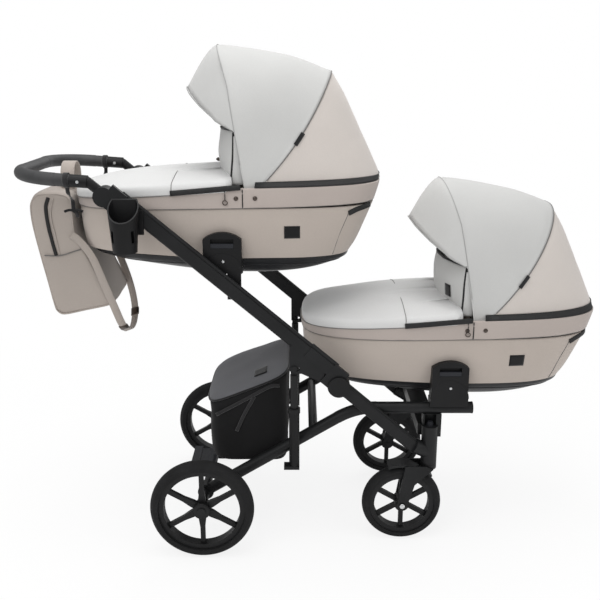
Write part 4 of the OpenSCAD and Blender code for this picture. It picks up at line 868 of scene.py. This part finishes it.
def build_rear_zip(at, body, named):
    """The zip that joins the foot of the rear panel to the rim's top edge."""
    high = []
    for turn in np.linspace(*REAR_ZIP_TURNS):
        column = rear_surface(np.array([turn]), np.linspace(*REAR_ZIP_ANGLES))[:, 0]
        over = column[:, 2] - (RIM_TOP + RIM_HEAD * column[:, 0])
        if over.max() >= REAR_ZIP_LEAST:
            high.append([np.interp(REAR_ZIP_HIGH, over[::-1], column[::-1, k]) for k in range(3)])
    z = RIM_TOP + RIM_HEAD * REAR_ZIP_X + REAR_ZIP_HIGH
    y = HOOD_W + REAR_ZIP_CLEAR
    high = np.array([(REAR_ZIP_X, y, z), *high, (REAR_ZIP_X, -y, z)])
    ring = level(RIM_OUT[3], RIM_TAIL[3], RIM_HEAD, 720)
    near = np.array([ring[np.linalg.norm(ring[:, :2] - p[:2], axis=1).argmin()] for p in high])
    low = near * (REAR_ZIP_SHRINK, REAR_ZIP_SHRINK, 1) + (0, 0, REAR_ZIP_CLEAR)
    band = np.array([low * (1 - f) + high * f for f in np.linspace(0, 1, 5)])
    out = band - np.array([PIVOT_X + REAR_ZIP_CENTRE, 0, PIVOT_Z])
    out[..., 2] *= REAR_ZIP_FLAT
    band = band + REAR_ZIP_OUT * out / np.linalg.norm(out, axis=2)[..., None]
    dress(thicken(grid(named("rear_zip"), band + at, ZIP), ZIP_WALL), body, "black_plastic")


def bend(obj):
    """Bakes obj's placement into its mesh; the cloth is not bent."""
    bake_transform(obj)


# Bag


def closed_spline(points, count):
    """count points at even steps on a smooth closed curve through points."""
    per, lap = 40, 3
    p = np.asarray(points, float)
    wide = np.vstack([p[-lap:], p, p[:lap]])
    line = spline(wide, per * len(wide))
    line = line[per * lap - per // 2: -per * lap + per // 2]
    step = np.r_[0, np.cumsum(np.linalg.norm(np.diff(line, axis=0), axis=1))]
    keep = np.linspace(0, step[-1], count + 1)[:-1]
    return np.stack([np.interp(keep, step, line[:, k]) for k in range(line.shape[1])], 1)


def bag_points(shares, y, scale=1.0):
    """Points at one y, from shares of the bag's height."""
    return np.array([(BAG_X + x * scale * BAG_H, y, BAG_Z + z * scale * BAG_H) for x, z in shares])


def build_bag():
    """The changing bag with its carry loop, trim, bands and sling."""
    ring = closed_spline(BAG_OUTLINE, 140)
    levels = [(-y, k) for y, k in BAG_HALF] + [(0, 1.0)] + BAG_HALF[::-1]
    rows = soften(np.array([bag_points(ring, y * BAG_W, k) for y, k in levels]), "bag", 0, True)
    bag = dress(grid("bag_look", rows[-2:0:-1], BAG_CLOTH, True, True), "bag", "taupe_cloth", "bag_body")

    # Carry loop on the top: two legs and a half round
    radius = LOOP_HALF * BAG_H - LOOP_THICK / 2
    foot, leg = BAG_Z + LOOP_FOOT * BAG_H, (LOOP_TOP - LOOP_HALF) * BAG_H
    x = BAG_X + LOOP_X * BAG_H
    bow = [(math.cos(a), math.sin(a)) for a in np.linspace(0, math.pi, 25)]
    points = [(x, radius, foot), *((x, radius * c, foot + leg + radius * n) for c, n in bow), (x, -radius, foot)]
    facing = [(0, 1, 0), *((0, c, n) for c, n in bow), (0, -1, 0)]
    dress(strap("bag_loop", points, facing, LOOP_HALF * BAG_H, LOOP_THICK, BAG_CLOTH), "bag", "taupe_cloth")

    for s, tag in SIDES:
        face, up = s * (BAG_W * 0.5 + BAG_FACE_OUT), (0, s, 0.01)
        edge = closed(bag_points(ring, s * BAG_W * BAG_EDGE, BAG_EDGE_SCALE))
        dress(tube(f"bag_piping_{tag}", edge, BAG_PIPING_R, BAG_CLOTH, 6, (0, 1, 0.01)), "bag", "taupe_cloth")
        opening = bag_points(spline(BAG_OPENING, 28), face)
        dress(strap(f"bag_zip_{tag}", opening, (0, s, 0), *BAG_ZIP, ZIP), "bag", "black_plastic")
        hem = bag_points(spline(BAG_HEM, 28), face)
        dress(tube(f"bag_hem_{tag}", hem, HEM_R, BAG_CLOTH, 6, up), "bag", "taupe_cloth")
        pocket = bag_points(spline(BAG_POCKET, 28), face)
        dress(tube(f"bag_pocket_{tag}", pocket, HEM_R, SEAM, 6, up), "bag", "taupe_cloth")
    build_bag_bands()
    build_sling()


def build_bag_bands():
    """Webbing bands round the handle arms, each with a toggle that holds the bag."""
    turn = np.linspace(0, 2 * math.pi, 33)
    out = np.stack([0 * turn, np.cos(turn), np.sin(turn)], 1)
    for s, tag in SIDES:
        arm = np.array((CLIP_X, s * CLIP_Y, CLIP_Z))
        dress(strap(f"bag_band_{tag}", arm + out * CLIP_R, out, *BAG_BAND, TAPE), "handle", "black_plastic")
        hook = bag_points([HOOK_AT], s * (BAG_W / 2 + HOOK_OUT))[0]
        back, inward, down = WEB_BEND
        web = spline([arm + (0, 0, -CLIP_R), arm + (-back, -s * inward, -CLIP_R - down),
                      hook + (0, s * WEB_END[0], WEB_END[1]), hook], 24)
        dress(strap(f"bag_web_{tag}", web, (0, s, 0.2), *BAG_WEB, TAPE), "bag", "black_plastic")
        bar = spline([hook + (x, 0, z) for x, z in TOGGLE], 16)
        toggle = tube(f"bag_toggle_{tag}", bar, TOGGLE_R, "black_plastic")
        dress(toggle, "bag", "black_plastic", "bag_clips")
        fore, inward, rise = TAIL_BEND
        end = bag_points([TAIL_AT], s * (BAG_W / 2 + TAIL_OUT))[0]
        tail = spline([hook, hook + (fore, -s * inward, rise), end], 12)
        dress(strap(f"bag_tail_{tag}", tail, (0, s, 0.3), *BAG_WEB, TAPE), "bag", "black_plastic")


def build_sling():
    """Shoulder strap, sewn to both ends of the bag and hanging under it."""
    half = BAG_W / 2 + SLING_OUT
    route = [(x, -w * half, z) for x, z, w in SLING] + [(SLING_LOW[0], 0.0, SLING_LOW[1])]
    route += [(x, w * half, z) for x, z, w in SLING[::-1]]
    sling = spline([(BAG_X + x * BAG_H, y, BAG_Z + z * BAG_H) for x, y, z in route], SLING_COUNT)
    turn = np.linspace(-1, 1, SLING_COUNT)
    fore, ease, under = SLING_FACE
    facing = np.stack([fore * (1 - turn**2), np.sign(turn) * np.abs(turn) ** ease, -under * (1 - turn**2)], 1)
    dress(strap("bag_strap", sling, facing, *SLING_TAPE, BAG_CLOTH), "bag", "taupe_cloth")
    for tag, k in SLIDE_AT.items():
        part = slice(k, k + SLIDE_ROWS)
        dress(strap(f"bag_slide_{tag}", sling[part], facing[part], *SLING_SLIDE, SNAP), "bag", "rivet_metal")


# Basket


def basket_ring(z, slope, half, wide, count=144):
    """The ring of points at one level of the basket."""
    a = np.linspace(0, 2 * math.pi, count, endpoint=False)
    x = half * BASKET_L * power(np.cos(a), BASKET_POWER)
    y = wide * BASKET_W / 2 * power(np.sin(a), BASKET_POWER)
    return np.stack([BASKET_X + x, y, z + slope * x], 1)


def build_basket():
    """The shopping basket, its padded lid and its tapes."""
    rows = [basket_ring(BASKET_Z + h * BASKET_H, k, a, b) for h, a, b, k in spline(BASKET_LEVELS, 30)]
    rows = soften(np.array(rows), "basket", 0, True)
    low, slope, half, wide = BASKET_FLOOR
    floor = basket_ring(BASKET_Z + low * BASKET_H, slope, half, wide)
    inside = [basket_ring(BASKET_TOP + h, BASKET_SLOPE, a, b) for h, a, b in BASKET_MOUTH]
    rows = np.concatenate([[floor], rows, inside])
    dress(grid("basket_look", rows, "basket_cloth", True, True), "chassis", "basket_cloth", "basket_body")

    # Padded lid with a plain patch laid on it
    rows = np.array([basket_ring(BASKET_TOP + h, BASKET_SLOPE, a, b) for h, a, b in spline(LID, 24)])
    rows = soften(rows, "lid", 0, True)
    lid = grid("basket_lid_look", rows, "lid_cloth", True, True)
    dress(lid, "chassis", "lid_cloth", "basket_lid")
    rise, half, wide = LID_EDGE
    edge = closed(basket_ring(BASKET_TOP + rise, BASKET_SLOPE, half, wide))
    dress(tube("basket_lid_piping", edge, LID_PIPING_R, PIPING), "chassis", "black_plastic")
    x, y = np.meshgrid(np.linspace(*LID_PATCH_X, 7), np.linspace(*LID_PATCH_Y, 7))
    top = rows.reshape(-1, 3)
    near = [np.hypot(top[:, 0] - BASKET_X - a, top[:, 1] - b).argmin() for a, b in zip(x.flat, y.flat)]
    tall = np.max(top[near, 2] - BASKET_SLOPE * (top[near, 0] - BASKET_X)) + LID_PATCH_OUT
    rows = np.stack([BASKET_X + x, y, tall + BASKET_SLOPE * x], 2)
    dress(thicken(grid("basket_lid_patch", rows, PATCH), STIFF_PATCH_WALL), "chassis", "black_plastic")

    # Sewn tapes on both sides
    for s, tag in SIDES:
        y = s * (BASKET_W / 2 + BASKET_TAPE_OUT)
        for i, line in enumerate(BASKET_TAPES):
            tape = [(BASKET_X + x, y, BASKET_Z + h * BASKET_H + BASKET_SLOPE * x * h * BASKET_TAPE_SLOPE)
                    for x, h in spline(line, 20)]
            tape = strap(f"basket_tape_{tag}_{i}", tape, (0, s, 0.05), *BASKET_TAPE, TAPE)
            dress(tape, "chassis", "basket_cloth")


# Screws and bolts


def build_screws():
    """Bright screw heads on the adapters and the front axles, and caps on the rear hubs."""
    bright = "rivet_metal"
    for which, body in (("upper", "push_frame"), ("lower", "chassis")):
        x, z = np.add(COTS[which], ADAPTER_SCREW_AT)
        for s, tag in SIDES:
            screw = button(f"{which}_adapter_screw_{tag}", (x, s * (COT_W / 2 + ADAPTER_FACE), z), (0, s, 0),
                           *ADAPTER_SCREW, bright)
            dress(screw, body, "rivet_metal")
    for s, tag in SIDES:
        axle = np.mean(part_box(f"front_tyre_{tag}"), axis=0)
        axle[1] = outer_face(f"front_fork_{tag}", s) - s * AXLE_BOLT_SUNK
        bolt = button(f"front_axle_bolt_{tag}", axle, (0, s, 0), *AXLE_BOLT, bright)
        dress(bolt, f"caster_{tag}", "rivet_metal")
    for s, tag in SIDES:
        hub = np.mean(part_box(f"rear_rim_{tag}"), axis=0)
        hub[1] = outer_face(f"rear_rim_{tag}", s) - s * HUB_CAP_SUNK
        dress(button(f"rear_hub_cap_{tag}", hub, (0, s, 0), *HUB_CAP, "rim_plastic"),
              f"rear_wheel_{tag}", "rim_plastic")


def outer_face(node, s):
    """The y of a node's outer face on side s."""
    low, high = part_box(node)
    return low[1] if s < 0 else high[1]


# Stage


def mixed(mat, output, factor, first, second):
    """The output's surface goes from the first shader to the second by a factor."""
    mix = add(mat, "ShaderNodeMixShader")
    for out, socket in zip((factor, first, second), mix.inputs):
        join(mat, out, socket)
    join(mat, mix.outputs["Shader"], mat.node_tree.nodes[output].inputs["Surface"])


def build_stage():
    """Camera, white surroundings, a floor that shows soft shadows and fades to white, and four lamps."""
    camera = bpy.data.objects.new("camera", bpy.data.cameras.new("camera"))
    camera.location = CAMERA_AT
    camera.rotation_euler = (math.radians(90 - CAMERA_PITCH), 0, 0)
    camera.data.lens, camera.data.sensor_width = CAMERA_LENS, SENSOR
    camera.data.clip_end = FAR_CLIP
    scene.collection.objects.link(camera)
    scene.camera = camera

    # The camera sees plain white; the pram gets AMBIENT of it
    world = bpy.data.worlds.new("studio")
    world.use_nodes = True
    scene.world = world
    ambient = world.node_tree.nodes["Background"]
    ambient.inputs["Color"].default_value = (1, 1, 1, 1)
    ambient.inputs["Strength"].default_value = AMBIENT
    white = add(world, "ShaderNodeBackground", Color=(1, 1, 1, 1), Strength=1.0)
    seen = add(world, "ShaderNodeLightPath").outputs["Is Camera Ray"]
    mixed(world, "World Output", seen, ambient.outputs["Background"], white.outputs["Background"])

    # Seen by the camera, the floor glows more the farther it is from the pram
    mat, bsdf = shader("floor_white", (1.0, 1.0, 1.0), 0.9)
    away = add(mat, "ShaderNodeVectorMath")
    away.operation = "LENGTH"
    join(mat, add(mat, "ShaderNodeTexCoord").outputs["Object"], away.inputs[0])
    fade = add(mat, "ShaderNodeMapRange", **FLOOR_FADE)
    fade.interpolation_type = "SMOOTHSTEP"
    join(mat, away.outputs["Value"], fade.inputs["Value"])
    seen = add(mat, "ShaderNodeLightPath").outputs["Is Camera Ray"]
    glow = add(mat, "ShaderNodeEmission")
    factor = math_node(mat, "MULTIPLY", seen, fade.outputs["Result"])
    mixed(mat, "Material Output", factor, bsdf.outputs["BSDF"], glow.outputs["Emission"])
    corners = [(x * FLOOR_HALF, y * FLOOR_HALF, 0) for x, y in ((-1, -1), (1, -1), (1, 1), (-1, 1))]
    floor = piece("floor", corners, [(0, 1, 2, 3)], mat, False)

    for name, at, aim, size, watts in LAMPS:
        lamp = bpy.data.lights.new(name, "AREA")
        lamp.size, lamp.energy = size, watts
        obj = bpy.data.objects.new(name, lamp)
        obj.location = at
        obj.rotation_euler = (Vector(aim) - Vector(at)).to_track_quat("-Z", "Y").to_euler()
        scene.collection.objects.link(obj)


# Build

build_stage()
for row in frame["record"]["subparts"]:
    obj = nodes[row["node"]]
    obj.data.materials.clear()
    obj.data.materials.append(MATERIALS[row["material_slot"]])
for which in COTS:
    build_cot(which)
build_bag()
build_basket()
build_screws()

scene.view_settings.view_transform = "Standard"
